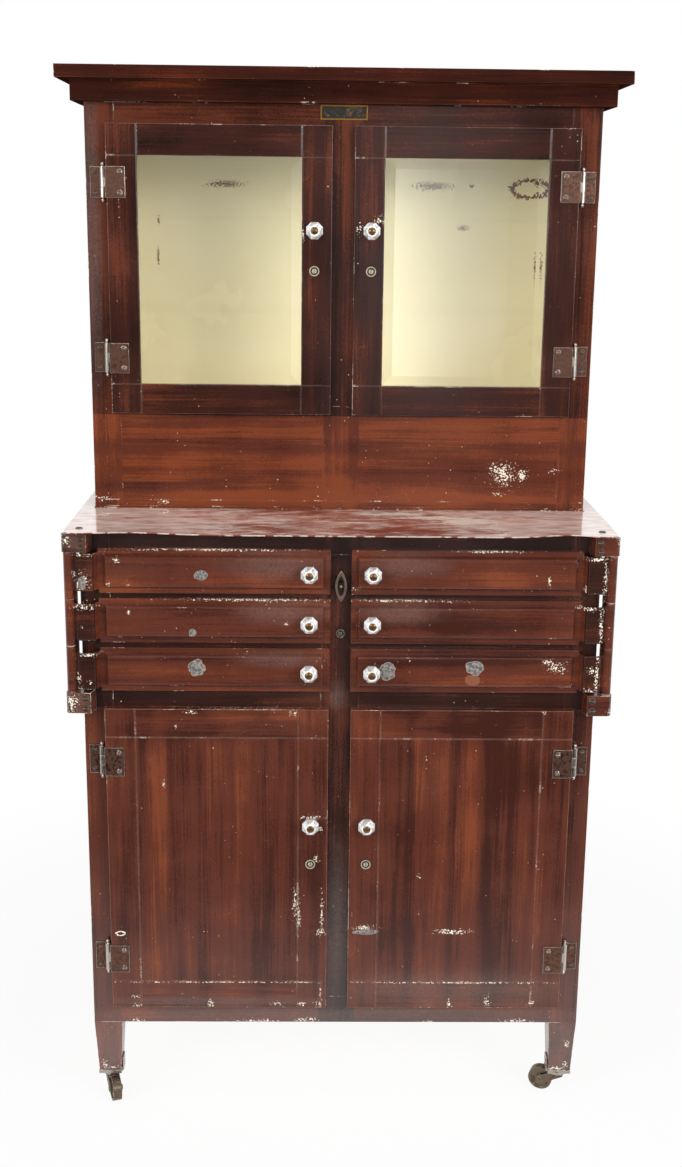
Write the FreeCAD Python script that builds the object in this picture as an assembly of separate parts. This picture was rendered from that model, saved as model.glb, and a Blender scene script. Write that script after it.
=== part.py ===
"""Dental cabinet of pressed steel: glazed upper case, counter, swing-out drawers, cupboard and casters.

Sizes are millimetres. Pieces are drawn with y = 0 on the base's front face, +Y to the back, x = 0 on
the centre line and z = 0 on the floor. Each is then moved so that the origin lies under the middle
of the whole cabinet.
"""

import FreeCAD
import Part
import math
import os

V = FreeCAD.Vector

# Case sizes
CASE_WIDTH = 800.0
BASE_DEPTH = 380.0
BASE_HEIGHT = 830.0
UPPER_DEPTH = 201.0
UPPER_HEIGHT = 632.0
SHEET = 1.5
FRAME_DEPTH = 10.0

# Counter
COUNTER_THICK = 4.0
COUNTER_SIDE = 21.0
COUNTER_FRONT = 35.0
COUNTER_RADIUS = 28.0
FOOT_FLANGE = 12.0
FOOT_LIP = 12.0

# Cornice
FRIEZE_HEIGHT = 32.0
FRIEZE_OUT = 18.0
BOARD_THICK = 19.0
BOARD_OUT = 38.0

# Doors
DOOR_THICK = 14.0
DOOR_GAP = 35.0
DOOR_MARGIN = 33.5
DOOR_LAP = 12.0
DOOR_BORDER = 47.0
LOWER_DOOR_FOOT = 35.0
LOWER_DOOR_HEAD = 28.0
UPPER_DOOR_FOOT = 155.0
UPPER_DOOR_HEAD = 32.0
GROOVE_WIDTH = 2.4
GROOVE_DEPTH = 0.8
PANE_THICK = 4.0
PANE_LAP = 4.0
PANE_BEVEL = 16.0
PANE_BEVEL_DROP = 1.5
PANE_FIT = 0.3

# Drawers
DRAWER_LEVELS = 3
DRAWER_GAP = 32.0
DRAWER_MARGIN = 29.0
PAN_HEIGHT = 70.0
PAN_SPACE = 8.5
PAN_HEAD = 24.0
PAN_RIM = 8.0
PAN_FIELD = 15.0
PAN_RIM_WIDTH = 9.0
PAN_BEVEL = 3.0
PAN_LAP = 9.0
FACE_GAP = 0.3
TRAY_HEIGHT = 42.0
TRAY_DEPTH = 300.0
TRAY_WALL = 1.2
TRAY_SIDE_GAP = 6.5
TRAY_POST_GAP = 2.0

# Drawer pivots
PIVOT_OUT = 15.5
PIVOT_FRONT = 13.0
ROD_RADIUS = 4.0
RUNNING_FIT = 0.05
SLEEVE_RADIUS = 7.0
WASHER_THICK = 1.5
END_PLAY = 0.1
ARM_HEIGHT = 58.0
ARM_THICK = 2.5
ARM_BULGE = 22.0
ARM_RAMP = 7.0
ARM_CURL = 5.0
UPPER_BRACKET_HEIGHT = 28.0
LOWER_BRACKET_HEIGHT = 33.0
BRACKET_LAP = 19.0
BRACKET_RAMP = 5.0
BRACKET_RADIUS = 9.0

# Hinges
HINGE_HEIGHT = 47.0
HINGE_FROM_END = 87.5
HINGE_PIVOT_OUT = 6.5
KNUCKLE_RADIUS = 4.5
KNUCKLE_GAP = 0.3
LEAF_THICK = 1.8
DOOR_LEAF = 31.0
FRAME_LEAF = 16.0
PIN_RADIUS = 2.0
PIN_TIP_RADIUS = 3.4

# Knobs, locks and turn button
KNOB_RADIUS = 14.0
KNOB_NECK = 9.0
KNOB_DEPTH = 20.0
KNOB_BAND = 5.0
KNOB_COLLAR = 3.0
KNOB_SCREW_RADIUS = 2.0
KNOB_SCREW_HEAD = 2.0
KNOB_SCREW_END = 4.0
DOOR_KNOB_INSET = 27.0
DRAWER_KNOB_INSET = 32.5
UPPER_KNOB_DROP = 157.0
LOWER_KNOB_DROP = 191.0
UPPER_LOCK_DROP = 62.0
LOWER_LOCK_DROP = 69.0
DOOR_LOCK_RADIUS = 8.0
DRAWER_LOCK_RADIUS = 7.0
LOCK_SHOULDER = 1.5
LOCK_PROUD = 2.5
CAM_LENGTH = 26.0
CAM_WIDTH = 10.0
CAM_THICK = 2.0
CAM_GAP = 0.8
DRAWER_LOCK_DROP = 158.0
BUTTON_DROP = 79.0
BUTTON_LENGTH = 49.0
BUTTON_WIDTH = 17.6
BUTTON_WALL = 3.5
BUTTON_THICK = 4.0
BUTTON_CLEAR = 6.0
BUTTON_HUB = 5.8
BUTTON_SPINDLE = 3.0
BUTTON_NUT = 6.0
BUTTON_NUT_THICK = 3.4

# Shelves and nameplate
SHELF_PITCH = 145.5
SHELF_THICK = 5.0
SHELF_FRONT_GAP = 11.0
SHELF_SIDE_GAP = 1.0
SHELF_BACK_GAP = 5.0
REST_WIDTH = 14.0
REST_DROP = 14.0
REST_THICK = 1.5
REST_INSET = 15.0
PLATE_WIDTH = 73.0
PLATE_HEIGHT = 22.0
PLATE_THICK = 1.6
PLATE_BORDER = 1.6
PLATE_RECESS = 0.6
PLATE_DROP = 12.0

# Legs and casters
LEG_HEIGHT = 93.0
LEG_TOP = 46.0
LEG_FOOT = 36.0
SOCKET_SIDE = 38.0
SOCKET_PLATE = 6.0
SOCKET_DISH = 5.0
TAB_HEIGHT = 18.0
TAB_WIDTH = 20.0
TAB_THICK = 2.0
SOCKET_RADIUS = 16.0
SWIVEL_GAP = 0.3
RACE_RADIUS = 13.0
RACE_THICK = 2.0
STEM_RADIUS = 4.0
STEM_LENGTH = 9.0
CROWN_THICK = 2.5
CROWN_LENGTH = 11.0
WHEEL_RADIUS = 20.0
WHEEL_WIDTH = 14.0
WHEEL_TRAIL = 28.0
WHEEL_SIDE_GAP = 0.5
WHEEL_TOP_GAP = 2.5
FORK_THICK = 2.5
AXLE_RADIUS = 3.0
AXLE_HEAD = 1.5
WHEEL_DISH = 2.0

# Fasteners
SMALL_SCREW_RADIUS = 4.0
LARGE_SCREW_RADIUS = 6.0
SCREW_HEIGHT = 1.6
SCREW_SLOT = 1.0
SCREW_CROWN = 0.7
BRACKET_SCREW_INSET = 13.0
COUNTER_SCREW_INSET = 20.0

# Places worked out from the sizes above
HALF = CASE_WIDTH / 2
WHEEL_AT_CROWN = math.sqrt(max(WHEEL_RADIUS ** 2 - (WHEEL_TRAIL - CROWN_LENGTH) ** 2, 0))
CROWN_Z = WHEEL_RADIUS + WHEEL_AT_CROWN + WHEEL_TOP_GAP
DISH_Z = CROWN_Z + CROWN_THICK + RACE_THICK + SWIVEL_GAP
FOOT_Z = DISH_Z + SOCKET_DISH + SOCKET_PLATE
BASE_Z = FOOT_Z + LEG_HEIGHT
COUNTER_Z = BASE_Z + BASE_HEIGHT
UPPER_Z = COUNTER_Z + COUNTER_THICK
UPPER_TOP = UPPER_Z + UPPER_HEIGHT
FRIEZE_TOP = UPPER_TOP + FRIEZE_HEIGHT
BOARD_TOP = FRIEZE_TOP + BOARD_THICK
UPPER_FACE = BASE_DEPTH - UPPER_DEPTH
DOOR_IN = DOOR_GAP / 2
DOOR_OUT = HALF - DOOR_MARGIN
POST_HALF = DOOR_IN + DOOR_LAP
STILE_IN = DOOR_OUT - DOOR_LAP
DRAWER_IN = DRAWER_GAP / 2
DRAWER_OUT = HALF - DRAWER_MARGIN
PAN_PITCH = PAN_HEIGHT + PAN_SPACE
PAN_TOP = COUNTER_Z - PAN_HEAD
PAN_LOW = PAN_TOP - PAN_HEIGHT - (DRAWER_LEVELS - 1) * PAN_PITCH
LOWER_DOOR_Z = (BASE_Z + LOWER_DOOR_FOOT, PAN_LOW - LOWER_DOOR_HEAD)
UPPER_DOOR_Z = (UPPER_Z + UPPER_DOOR_FOOT, UPPER_TOP - UPPER_DOOR_HEAD)
DECK_Z = PAN_LOW + PAN_LAP
UPPER_FLOOR_Z = UPPER_DOOR_Z[0] + DOOR_LAP
PIVOT = V(HALF + PIVOT_OUT, -PIVOT_FRONT, 0)
STACK_LOW = PAN_LOW
STACK_TOP = COUNTER_Z - UPPER_BRACKET_HEIGHT
SLEEVE_PITCH = (STACK_TOP - STACK_LOW - WASHER_THICK) / DRAWER_LEVELS
HINGE_Y = -(KNUCKLE_RADIUS + KNUCKLE_GAP)
HINGE_X = DOOR_OUT + HINGE_PIVOT_OUT
KNOB_REACH = KNOB_COLLAR + KNOB_DEPTH + KNOB_SCREW_HEAD
FRONT_REACH = max(PAN_FIELD, DOOR_THICK) + KNOB_REACH
SHIFT = V(0, (FRONT_REACH - BASE_DEPTH) / 2, 0)
LEG_AXIS = HALF - LEG_TOP / 2
CASTER_AXES = {
    "front_left": (V(-LEG_AXIS, LEG_TOP / 2, 0), V(9.0, -26.5, 0)),
    "front_right": (V(LEG_AXIS, LEG_TOP / 2, 0), V(-26.0, 10.5, 0)),
    "rear_left": (V(-LEG_AXIS, BASE_DEPTH - LEG_TOP / 2, 0), V(20.0, -19.6, 0)),
    "rear_right": (V(LEG_AXIS, BASE_DEPTH - LEG_TOP / 2, 0), V(-20.0, -19.6, 0)),
}


def box(x0, x1, y0, y1, z0, z1):
    """Box between two corners."""
    return Part.makeBox(x1 - x0, y1 - y0, z1 - z0, V(x0, y0, z0))


def rod(radius, start, end):
    """Cylinder from one point to another."""
    return Part.makeCylinder(radius, (end - start).Length, start, end - start)


def cone(radius, tip, start, end):
    """Frustum from one point to another."""
    return Part.makeCone(radius, tip, (end - start).Length, start, end - start)


def mirrored(shape):
    """The same piece on the left side."""
    return shape.mirror(V(0, 0, 0), V(1, 0, 0))


def both(shape):
    """Right and left copies of a piece."""
    return [shape, mirrored(shape)]


def prism(points, z0, z1):
    """Upright solid on a plan outline of straight runs."""
    corners = [V(x, y, z0) for x, y in points]
    wire = Part.makePolygon(corners + corners[:1])
    return Part.Face(wire).extrude(V(0, 0, z1 - z0))


def rectangle(x0, x1, z0, z1, y):
    """Upright rectangular wire facing the front."""
    corners = [V(x0, y, z0), V(x1, y, z0), V(x1, y, z1), V(x0, y, z1)]
    return Part.makePolygon(corners + corners[:1])


def taper(near, far):
    """Straight-sided solid between two wires."""
    return Part.makeLoft([near, far], True, True)


def save(node, solids):
    """Write one piece, or a group of like pieces, as its own file."""
    shape = Part.makeCompound(solids)
    shape.translate(SHIFT)
    shape.exportStep(os.path.join("parts", node + ".step"))


def channel(x0, x1, z0, z1, face):
    """Frame member folded from sheet, open at the back."""
    back = face + FRAME_DEPTH
    outer = box(x0, x1, face, back, z0, z1)
    return outer.cut(box(x0 + SHEET, x1 - SHEET, face + SHEET, back, z0 + SHEET, z1 - SHEET))


def pan_z(level):
    """Lower edge of a drawer front, counted from the lowest."""
    return PAN_LOW + level * PAN_PITCH


def side_panels(depth_from, depth_to, z0, z1):
    return both(box(HALF - SHEET, HALF, depth_from, depth_to, z0, z1))


def inner_sheet(y0, y1, z0, z1):
    """Sheet that spans between the side panels."""
    return box(SHEET - HALF, HALF - SHEET, y0, y1, z0, z1)


def drawer_lock_z():
    return COUNTER_Z - DRAWER_LOCK_DROP


def turn_button_z():
    return COUNTER_Z - BUTTON_DROP


def base_face_frame():
    """Stiles, centre post and rails round the drawers and the cupboard doors."""
    foot = LOWER_DOOR_Z[0] + DOOR_LAP
    head = PAN_TOP - PAN_LAP
    post = channel(-POST_HALF, POST_HALF, foot, head, 0)
    lock_hole = DRAWER_LOCK_RADIUS - LOCK_SHOULDER + RUNNING_FIT
    for z, radius in ((drawer_lock_z(), lock_hole), (turn_button_z(), BUTTON_SPINDLE + RUNNING_FIT)):
        post = post.cut(rod(radius, V(0, -SHEET, z), V(0, FRAME_DEPTH, z)))
    members = both(channel(STILE_IN, HALF, BASE_Z, COUNTER_Z, 0))
    members += [post]
    members += [channel(-STILE_IN, STILE_IN, BASE_Z, foot, 0)]
    members += [channel(-STILE_IN, STILE_IN, head, COUNTER_Z, 0)]
    members += both(channel(POST_HALF, STILE_IN, LOWER_DOOR_Z[1] - DOOR_LAP, DECK_Z, 0))
    for level in range(1, DRAWER_LEVELS):
        low = pan_z(level) - PAN_SPACE - PAN_LAP
        members += both(channel(POST_HALF, STILE_IN, low, pan_z(level) + PAN_LAP, 0))
    return members


def upper_face_frame():
    """Stiles, post, head rail, backboard and the foot angle that is screwed to the counter."""
    foot = UPPER_DOOR_Z[0] + DOOR_LAP
    head = UPPER_DOOR_Z[1] - DOOR_LAP
    members = both(channel(STILE_IN, HALF, UPPER_Z, UPPER_TOP, UPPER_FACE))
    members += [channel(-POST_HALF, POST_HALF, foot, head, UPPER_FACE)]
    members += [channel(-STILE_IN, STILE_IN, UPPER_Z, foot, UPPER_FACE)]
    members += [channel(-STILE_IN, STILE_IN, head, UPPER_TOP, UPPER_FACE)]
    flange = box(-HALF, HALF, UPPER_FACE - FOOT_FLANGE, UPPER_FACE, UPPER_Z, UPPER_Z + SHEET)
    lip = box(-HALF, HALF, UPPER_FACE - SHEET, UPPER_FACE, UPPER_Z, UPPER_Z + FOOT_LIP)
    members += [flange.fuse(lip).removeSplitter()]
    return members


def counter_top():
    side = HALF + COUNTER_SIDE
    plate = box(-side, side, -COUNTER_FRONT, BASE_DEPTH, COUNTER_Z, UPPER_Z)
    corners = [e for e in plate.Edges if e.BoundBox.ZLength > COUNTER_THICK / 2 and e.BoundBox.YMax < 0]
    return plate.makeFillet(COUNTER_RADIUS, corners)


def cornice():
    """Hollow frieze and board, closed from below by a skin that is the upper case's ceiling."""
    def slab(out, z0, z1, wall):
        reach = HALF + out - wall
        return box(-reach, reach, UPPER_FACE - out + wall, BASE_DEPTH - wall, z0, z1)
    shell = slab(FRIEZE_OUT, UPPER_TOP + SHEET, FRIEZE_TOP, 0).fuse(slab(BOARD_OUT, FRIEZE_TOP, BOARD_TOP, 0))
    hollow = slab(FRIEZE_OUT, UPPER_TOP + SHEET, FRIEZE_TOP + SHEET, SHEET)
    hollow = hollow.fuse(slab(BOARD_OUT, FRIEZE_TOP + SHEET, BOARD_TOP - SHEET, SHEET))
    return [shell.cut(hollow).removeSplitter(), slab(FRIEZE_OUT, UPPER_TOP, UPPER_TOP + SHEET, 0)]


def bracket(z0, z1):
    """Corner bracket that holds one end of a drawer rod."""
    inner = HALF - BRACKET_LAP
    front = PIVOT.y - BRACKET_RADIUS
    nose = V(PIVOT.x + BRACKET_RADIUS, PIVOT.y, z0)
    points = [V(HALF, 0, z0), V(inner, 0, z0), V(inner + BRACKET_RAMP, front, z0), V(PIVOT.x, front, z0)]
    heel = V(PIVOT.x, PIVOT.y + BRACKET_RADIUS, z0)
    edges = [Part.LineSegment(a, b).toShape() for a, b in zip(points, points[1:])]
    edges += [Part.Arc(points[-1], nose, heel).toShape(), Part.LineSegment(heel, points[0]).toShape()]
    block = Part.Face(Part.Wire(edges)).extrude(V(0, 0, z1 - z0))
    return block.cut(pivot_line(ROD_RADIUS + RUNNING_FIT, z0, z1))


def pivot_line(radius, z0, z1):
    return rod(radius, V(PIVOT.x, PIVOT.y, z0), V(PIVOT.x, PIVOT.y, z1))


def pivot_rods():
    """Rods, and the washers that part the sleeves."""
    pieces = both(pivot_line(ROD_RADIUS, STACK_LOW - LOWER_BRACKET_HEIGHT, COUNTER_Z))
    for level in range(DRAWER_LEVELS + 1):
        low = STACK_LOW + level * SLEEVE_PITCH
        ring = pivot_line(SLEEVE_RADIUS, low, low + WASHER_THICK)
        pieces += both(ring.cut(pivot_line(ROD_RADIUS + RUNNING_FIT, low, low + WASHER_THICK)))
    return pieces


def tapered_leg(front):
    """Hollow leg on the right, flush with the case's corner at its head and tapered on all sides."""
    y = LEG_TOP / 2 if front else BASE_DEPTH - LEG_TOP / 2

    def square(side, z, wall):
        half = side / 2 - wall
        signs = ((-1, -1), (1, -1), (1, 1), (-1, 1))
        corners = [V(LEG_AXIS + i * half, y + j * half, z) for i, j in signs]
        return Part.makePolygon(corners + corners[:1])
    outer = taper(square(LEG_FOOT, FOOT_Z, 0), square(LEG_TOP, BASE_Z, 0))
    return outer.cut(taper(square(LEG_FOOT, FOOT_Z + SHEET, SHEET), square(LEG_TOP, BASE_Z, SHEET)))


def caster_socket(axis):
    """Square plate and round dish under a leg, bored for the stem, with a tab up the leg's inner side."""
    half = SOCKET_SIDE / 2
    plate_z = FOOT_Z - SOCKET_PLATE
    inward = math.copysign(1, -axis.x)
    lean = (LEG_TOP - LEG_FOOT) / 2 * TAB_HEIGHT / LEG_HEIGHT
    near = axis.x + inward * (LEG_FOOT / 2 + lean + FACE_GAP)
    far = near + inward * TAB_THICK
    tab_y = (axis.y - TAB_WIDTH / 2, axis.y + TAB_WIDTH / 2)
    tab = box(min(near, far), max(near, far), *tab_y, plate_z, FOOT_Z + TAB_HEIGHT)
    web = box(min(axis.x, far), max(axis.x, far), *tab_y, plate_z, FOOT_Z)
    plate = box(axis.x - half, axis.x + half, axis.y - half, axis.y + half, plate_z, FOOT_Z)
    dish = rod(SOCKET_RADIUS, V(axis.x, axis.y, DISH_Z), V(axis.x, axis.y, plate_z))
    bore = rod(STEM_RADIUS + RUNNING_FIT, V(axis.x, axis.y, DISH_Z), V(axis.x, axis.y, FOOT_Z))
    return plate.fuse([web, tab, dish]).cut(bore).removeSplitter()


def turned(shape, axis, trail):
    """Swing a caster piece, drawn trailing along +X at the origin, to its place."""
    shape.rotate(V(0, 0, 0), V(0, 0, 1), math.degrees(math.atan2(trail.y, trail.x)))
    shape.translate(axis)
    return shape


def caster_fork():
    """Stem, ball race, crown and two horns, with the axle riveted through them."""
    race_top = DISH_Z - SWIVEL_GAP
    crown_top = CROWN_Z + CROWN_THICK
    inner = WHEEL_WIDTH / 2 + WHEEL_SIDE_GAP
    outer = inner + FORK_THICK
    body = rod(STEM_RADIUS, V(0, 0, crown_top), V(0, 0, race_top + STEM_LENGTH))
    body = body.fuse(rod(RACE_RADIUS, V(0, 0, crown_top), V(0, 0, race_top)))
    body = body.fuse(box(-CROWN_LENGTH, CROWN_LENGTH, -outer, outer, CROWN_Z, crown_top))
    lug = AXLE_RADIUS * 2
    tip = WHEEL_TRAIL + lug
    for side in (-outer, inner):
        corners = [V(-CROWN_LENGTH, side, crown_top), V(CROWN_LENGTH, side, crown_top)]
        corners += [V(tip, side, WHEEL_RADIUS + lug / 2), V(tip, side, WHEEL_RADIUS - lug)]
        corners += [V(WHEEL_TRAIL - lug, side, WHEEL_RADIUS - lug), V(-CROWN_LENGTH, side, CROWN_Z)]
        horn = Part.Face(Part.makePolygon(corners + corners[:1])).extrude(V(0, FORK_THICK, 0))
        body = body.fuse(horn)
    hub = V(WHEEL_TRAIL, 0, WHEEL_RADIUS)
    hole = rod(AXLE_RADIUS + RUNNING_FIT, hub - V(0, outer, 0), hub + V(0, outer, 0))
    end = outer + AXLE_HEAD
    axle = rod(AXLE_RADIUS, hub - V(0, end, 0), hub + V(0, end, 0))
    for side in (-1, 1):
        axle = axle.fuse(rod(AXLE_RADIUS + AXLE_HEAD, hub + V(0, side * outer, 0), hub + V(0, side * end, 0)))
    return Part.makeCompound([body.cut(hole).removeSplitter(), axle.removeSplitter()])


def caster_wheel():
    """Wheel with dished sides."""
    half = WHEEL_WIDTH / 2
    centre = V(WHEEL_TRAIL, 0, WHEEL_RADIUS)
    wheel = rod(WHEEL_RADIUS, centre - V(0, half, 0), centre + V(0, half, 0))
    hub = AXLE_RADIUS * 2
    for side in (-1, 1):
        face = centre + V(0, side * half, 0)
        floor = centre + V(0, side * (half - WHEEL_DISH), 0)
        ring = rod(WHEEL_RADIUS - AXLE_RADIUS, floor, face).cut(rod(hub, floor, face))
        wheel = wheel.cut(ring)
    return wheel.cut(rod(AXLE_RADIUS + RUNNING_FIT, centre - V(0, half, 0), centre + V(0, half, 0)))


def screw_head(place, way, radius):
    """Slotted screw head standing on a face, its axis along way."""
    head = cone(radius, radius * SCREW_CROWN, place, place + way * SCREW_HEIGHT)
    side = V(1, 0, 0)
    across = way.cross(side)
    slot = Part.makeBox(2 * radius, SCREW_SLOT, SCREW_HEIGHT / 2)
    slot.translate(V(-radius, -SCREW_SLOT / 2, 0))
    seat = FreeCAD.Placement(place + way * (SCREW_HEIGHT / 2), FreeCAD.Rotation(side, across, way))
    slot.Placement = seat * slot.Placement
    return head.cut(slot)


def hinge_heights(span):
    return (span[0] + HINGE_FROM_END, span[1] - HINGE_FROM_END)


def knuckle(low, part, face):
    """One of three equal knuckles, counted from the bottom."""
    third = HINGE_HEIGHT / 3
    x, y = HINGE_X, face + HINGE_Y
    z0 = low + part * third + (RUNNING_FIT if part == 1 else 0)
    z1 = low + (part + 1) * third - (RUNNING_FIT if part == 1 else 0)
    outer = rod(KNUCKLE_RADIUS, V(x, y, z0), V(x, y, z1))
    return outer, rod(PIN_RADIUS + RUNNING_FIT, V(x, y, z0), V(x, y, z1))


def frame_leaf(z, face):
    """Leaf on the face frame with the outer knuckles."""
    low = z - HINGE_HEIGHT / 2
    third = HINGE_HEIGHT / 3
    x1 = HINGE_X + KNUCKLE_RADIUS + FRAME_LEAF
    leaf = box(HINGE_X, x1, face - LEAF_THICK, face, low, low + HINGE_HEIGHT)
    clear = HINGE_X + KNUCKLE_RADIUS + KNUCKLE_GAP
    leaf = leaf.cut(box(HINGE_X, clear, face - LEAF_THICK, face, low + third, low + 2 * third))
    for part in (0, 2):
        outer, bore = knuckle(low, part, face)
        leaf = leaf.fuse(outer).cut(bore)
    return leaf.removeSplitter()


def door_leaf(z, face):
    """Cranked leaf on a door's face, with the middle knuckle."""
    low = z - HINGE_HEIGHT / 2
    top = low + HINGE_HEIGHT
    front = face - DOOR_THICK
    riser = HINGE_X - KNUCKLE_RADIUS - KNUCKLE_GAP
    edge = DOOR_OUT + KNUCKLE_GAP / 2
    x0 = HINGE_X - KNUCKLE_RADIUS - DOOR_LEAF
    leaf = box(x0, riser, front - LEAF_THICK, front, low, top)
    leaf = leaf.fuse(box(edge, riser, front, face + HINGE_Y, low, top))
    outer, bore = knuckle(low, 1, face)
    z0 = outer.BoundBox.ZMin
    z1 = outer.BoundBox.ZMax
    web = box(edge, HINGE_X, face + HINGE_Y - KNUCKLE_RADIUS, face + HINGE_Y, z0, z1)
    return leaf.fuse(outer).fuse(web).cut(bore).removeSplitter()


def hinge_pin(z, face):
    """Pin with a ball at each end."""
    half = HINGE_HEIGHT / 2
    x, y = HINGE_X, face + HINGE_Y
    pin = rod(PIN_RADIUS, V(x, y, z - half - PIN_TIP_RADIUS), V(x, y, z + half + PIN_TIP_RADIUS))
    for side in (-1, 1):
        pin = pin.fuse(Part.makeSphere(PIN_TIP_RADIUS, V(x, y, z + side * (half + PIN_TIP_RADIUS))))
    return pin.removeSplitter()


def frame_screws(z, face):
    x = HINGE_X + KNUCKLE_RADIUS + FRAME_LEAF / 2
    rise = HINGE_HEIGHT / 3
    y = face - LEAF_THICK
    return [screw_head(V(x, y, z + s * rise), V(0, -1, 0), SMALL_SCREW_RADIUS) for s in (-1, 1)]


def leaf_screws(z, face):
    x = HINGE_X - KNUCKLE_RADIUS - DOOR_LEAF + SMALL_SCREW_RADIUS * 2
    rise = HINGE_HEIGHT / 3
    y = face - DOOR_THICK - LEAF_THICK
    return [screw_head(V(x, y, z + s * rise), V(0, -1, 0), SMALL_SCREW_RADIUS) for s in (-1, 1)]


def door_hinge_leaves(span, face):
    pieces = []
    for z in hinge_heights(span):
        pieces += [door_leaf(z, face)] + leaf_screws(z, face)
    return pieces


def fixed_hinge_pieces():
    pieces = []
    for span, face in ((LOWER_DOOR_Z, 0), (UPPER_DOOR_Z, UPPER_FACE)):
        for z in hinge_heights(span):
            pieces += both(frame_leaf(z, face)) + both(hinge_pin(z, face))
    return pieces


def fixed_screws():
    """Screws in the counter, the foot flange, the brackets and the frame leaves."""
    pieces = []
    for span, face in ((LOWER_DOOR_Z, 0), (UPPER_DOOR_Z, UPPER_FACE)):
        for z in hinge_heights(span):
            for head in frame_screws(z, face):
                pieces += both(head)
    face = PIVOT.y - BRACKET_RADIUS
    x = HALF - BRACKET_LAP + BRACKET_SCREW_INSET
    lower = (STACK_LOW - LOWER_BRACKET_HEIGHT, STACK_LOW)
    for low, top in (lower, (STACK_TOP, COUNTER_Z)):
        radius = min(LARGE_SCREW_RADIUS, (top - low) / 5)
        for z in (low + (top - low) / 4, top - (top - low) / 4):
            pieces += both(screw_head(V(x, face, z), V(0, -1, 0), radius))
    flange_y = UPPER_FACE - FOOT_FLANGE / 2
    up = V(0, 0, 1)
    radius = min(SMALL_SCREW_RADIUS, FOOT_FLANGE / 3)
    pieces += [screw_head(V(0, flange_y, UPPER_Z + SHEET), up, radius)]
    pieces += both(screw_head(V(HALF - COUNTER_SCREW_INSET, flange_y, UPPER_Z + SHEET), up, radius))
    corner = V(HALF, 2 * COUNTER_SCREW_INSET - COUNTER_FRONT, UPPER_Z)
    pieces += both(screw_head(corner, up, LARGE_SCREW_RADIUS))
    return pieces


def knob(place):
    """Octagonal glass knob on a collar, held by a through screw."""
    def octagon(radius, y):
        turns = [math.radians(22.5 + 45 * k) for k in range(8)]
        corners = [V(place.x + radius * math.cos(t), y, place.z + radius * math.sin(t)) for t in turns]
        return Part.makePolygon(corners + corners[:1])
    base = place.y - KNOB_COLLAR
    front = base - KNOB_DEPTH
    waist = base - (KNOB_DEPTH - KNOB_BAND) / 2
    rings = ((KNOB_NECK, base), (KNOB_RADIUS, waist), (KNOB_RADIUS, waist - KNOB_BAND), (KNOB_NECK, front))
    glass = Part.makeLoft([octagon(radius, y) for radius, y in rings], True, True)
    hole = rod(KNOB_SCREW_RADIUS + RUNNING_FIT, V(place.x, place.y, place.z), V(place.x, front, place.z))
    collar = cone(KNOB_NECK, KNOB_NECK - KNOB_COLLAR / 2, place, V(place.x, base, place.z))
    screw = rod(KNOB_SCREW_RADIUS, V(place.x, place.y + KNOB_SCREW_END, place.z), V(place.x, front, place.z))
    head = cone(KNOB_SCREW_RADIUS * 2, KNOB_SCREW_RADIUS, V(place.x, front, place.z),
                V(place.x, front - KNOB_SCREW_HEAD, place.z))
    return [glass.cut(hole), collar.cut(hole), screw.fuse(head).removeSplitter()]


def knob_hole(place):
    end = V(place.x, place.y + KNOB_SCREW_END + SHEET, place.z)
    return rod(KNOB_SCREW_RADIUS + RUNNING_FIT, V(place.x, place.y - SHEET, place.z), end)


def lock_plug(place, radius, cam_y):
    """Lock face and barrel with a cam that hangs down behind the frame."""
    barrel = radius - LOCK_SHOULDER
    face = place.y - RUNNING_FIT
    plug = rod(radius, V(place.x, face - LOCK_PROUD, place.z), V(place.x, face, place.z))
    plug = plug.fuse(rod(barrel, V(place.x, face, place.z), V(place.x, cam_y + CAM_THICK, place.z)))
    half = CAM_WIDTH / 2
    cam = box(place.x - half, place.x + half, cam_y, cam_y + CAM_THICK, place.z - CAM_LENGTH, place.z)
    key = box(place.x - SCREW_SLOT / 2, place.x + SCREW_SLOT / 2, face - LOCK_PROUD, face - LOCK_PROUD / 2,
              place.z - barrel / 2, place.z + barrel / 2)
    return plug.fuse(cam).cut(key).removeSplitter()


def door_knob_place(span, face, drop):
    return V(DOOR_IN + DOOR_KNOB_INSET, face - DOOR_THICK, span[1] - drop)


def door_fittings(span, face, drop, lock_drop):
    """Knob place, lock place and the holes that a door needs for them."""
    knob_at = door_knob_place(span, face, drop)
    lock_at = knob_at - V(0, 0, lock_drop)
    barrel = DOOR_LOCK_RADIUS - LOCK_SHOULDER + RUNNING_FIT
    holes = [knob_hole(knob_at), rod(barrel, lock_at - V(0, SHEET, 0), lock_at + V(0, DOOR_THICK + SHEET, 0))]
    return knob_at, lock_at, holes


def groove(start, end, across):
    """Pressed V line on a door's face."""
    half = across * (GROOVE_WIDTH / 2)
    corners = [start - half, start + half, start + V(0, GROOVE_DEPTH, 0)]
    return Part.Face(Part.makePolygon(corners + corners[:1])).extrude(end - start)


def door_grooves(span, face):
    """Lines that run from edge to edge both ways and mark stiles and rails."""
    y = face - DOOR_THICK
    lines = []
    for x in (DOOR_IN + DOOR_BORDER, DOOR_OUT - DOOR_BORDER):
        lines.append(groove(V(x, y, span[0]), V(x, y, span[1]), V(1, 0, 0)))
    for z in (span[0] + DOOR_BORDER, span[1] - DOOR_BORDER):
        lines.append(groove(V(DOOR_IN, y, z), V(DOOR_OUT, y, z), V(0, 0, 1)))
    return lines


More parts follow.
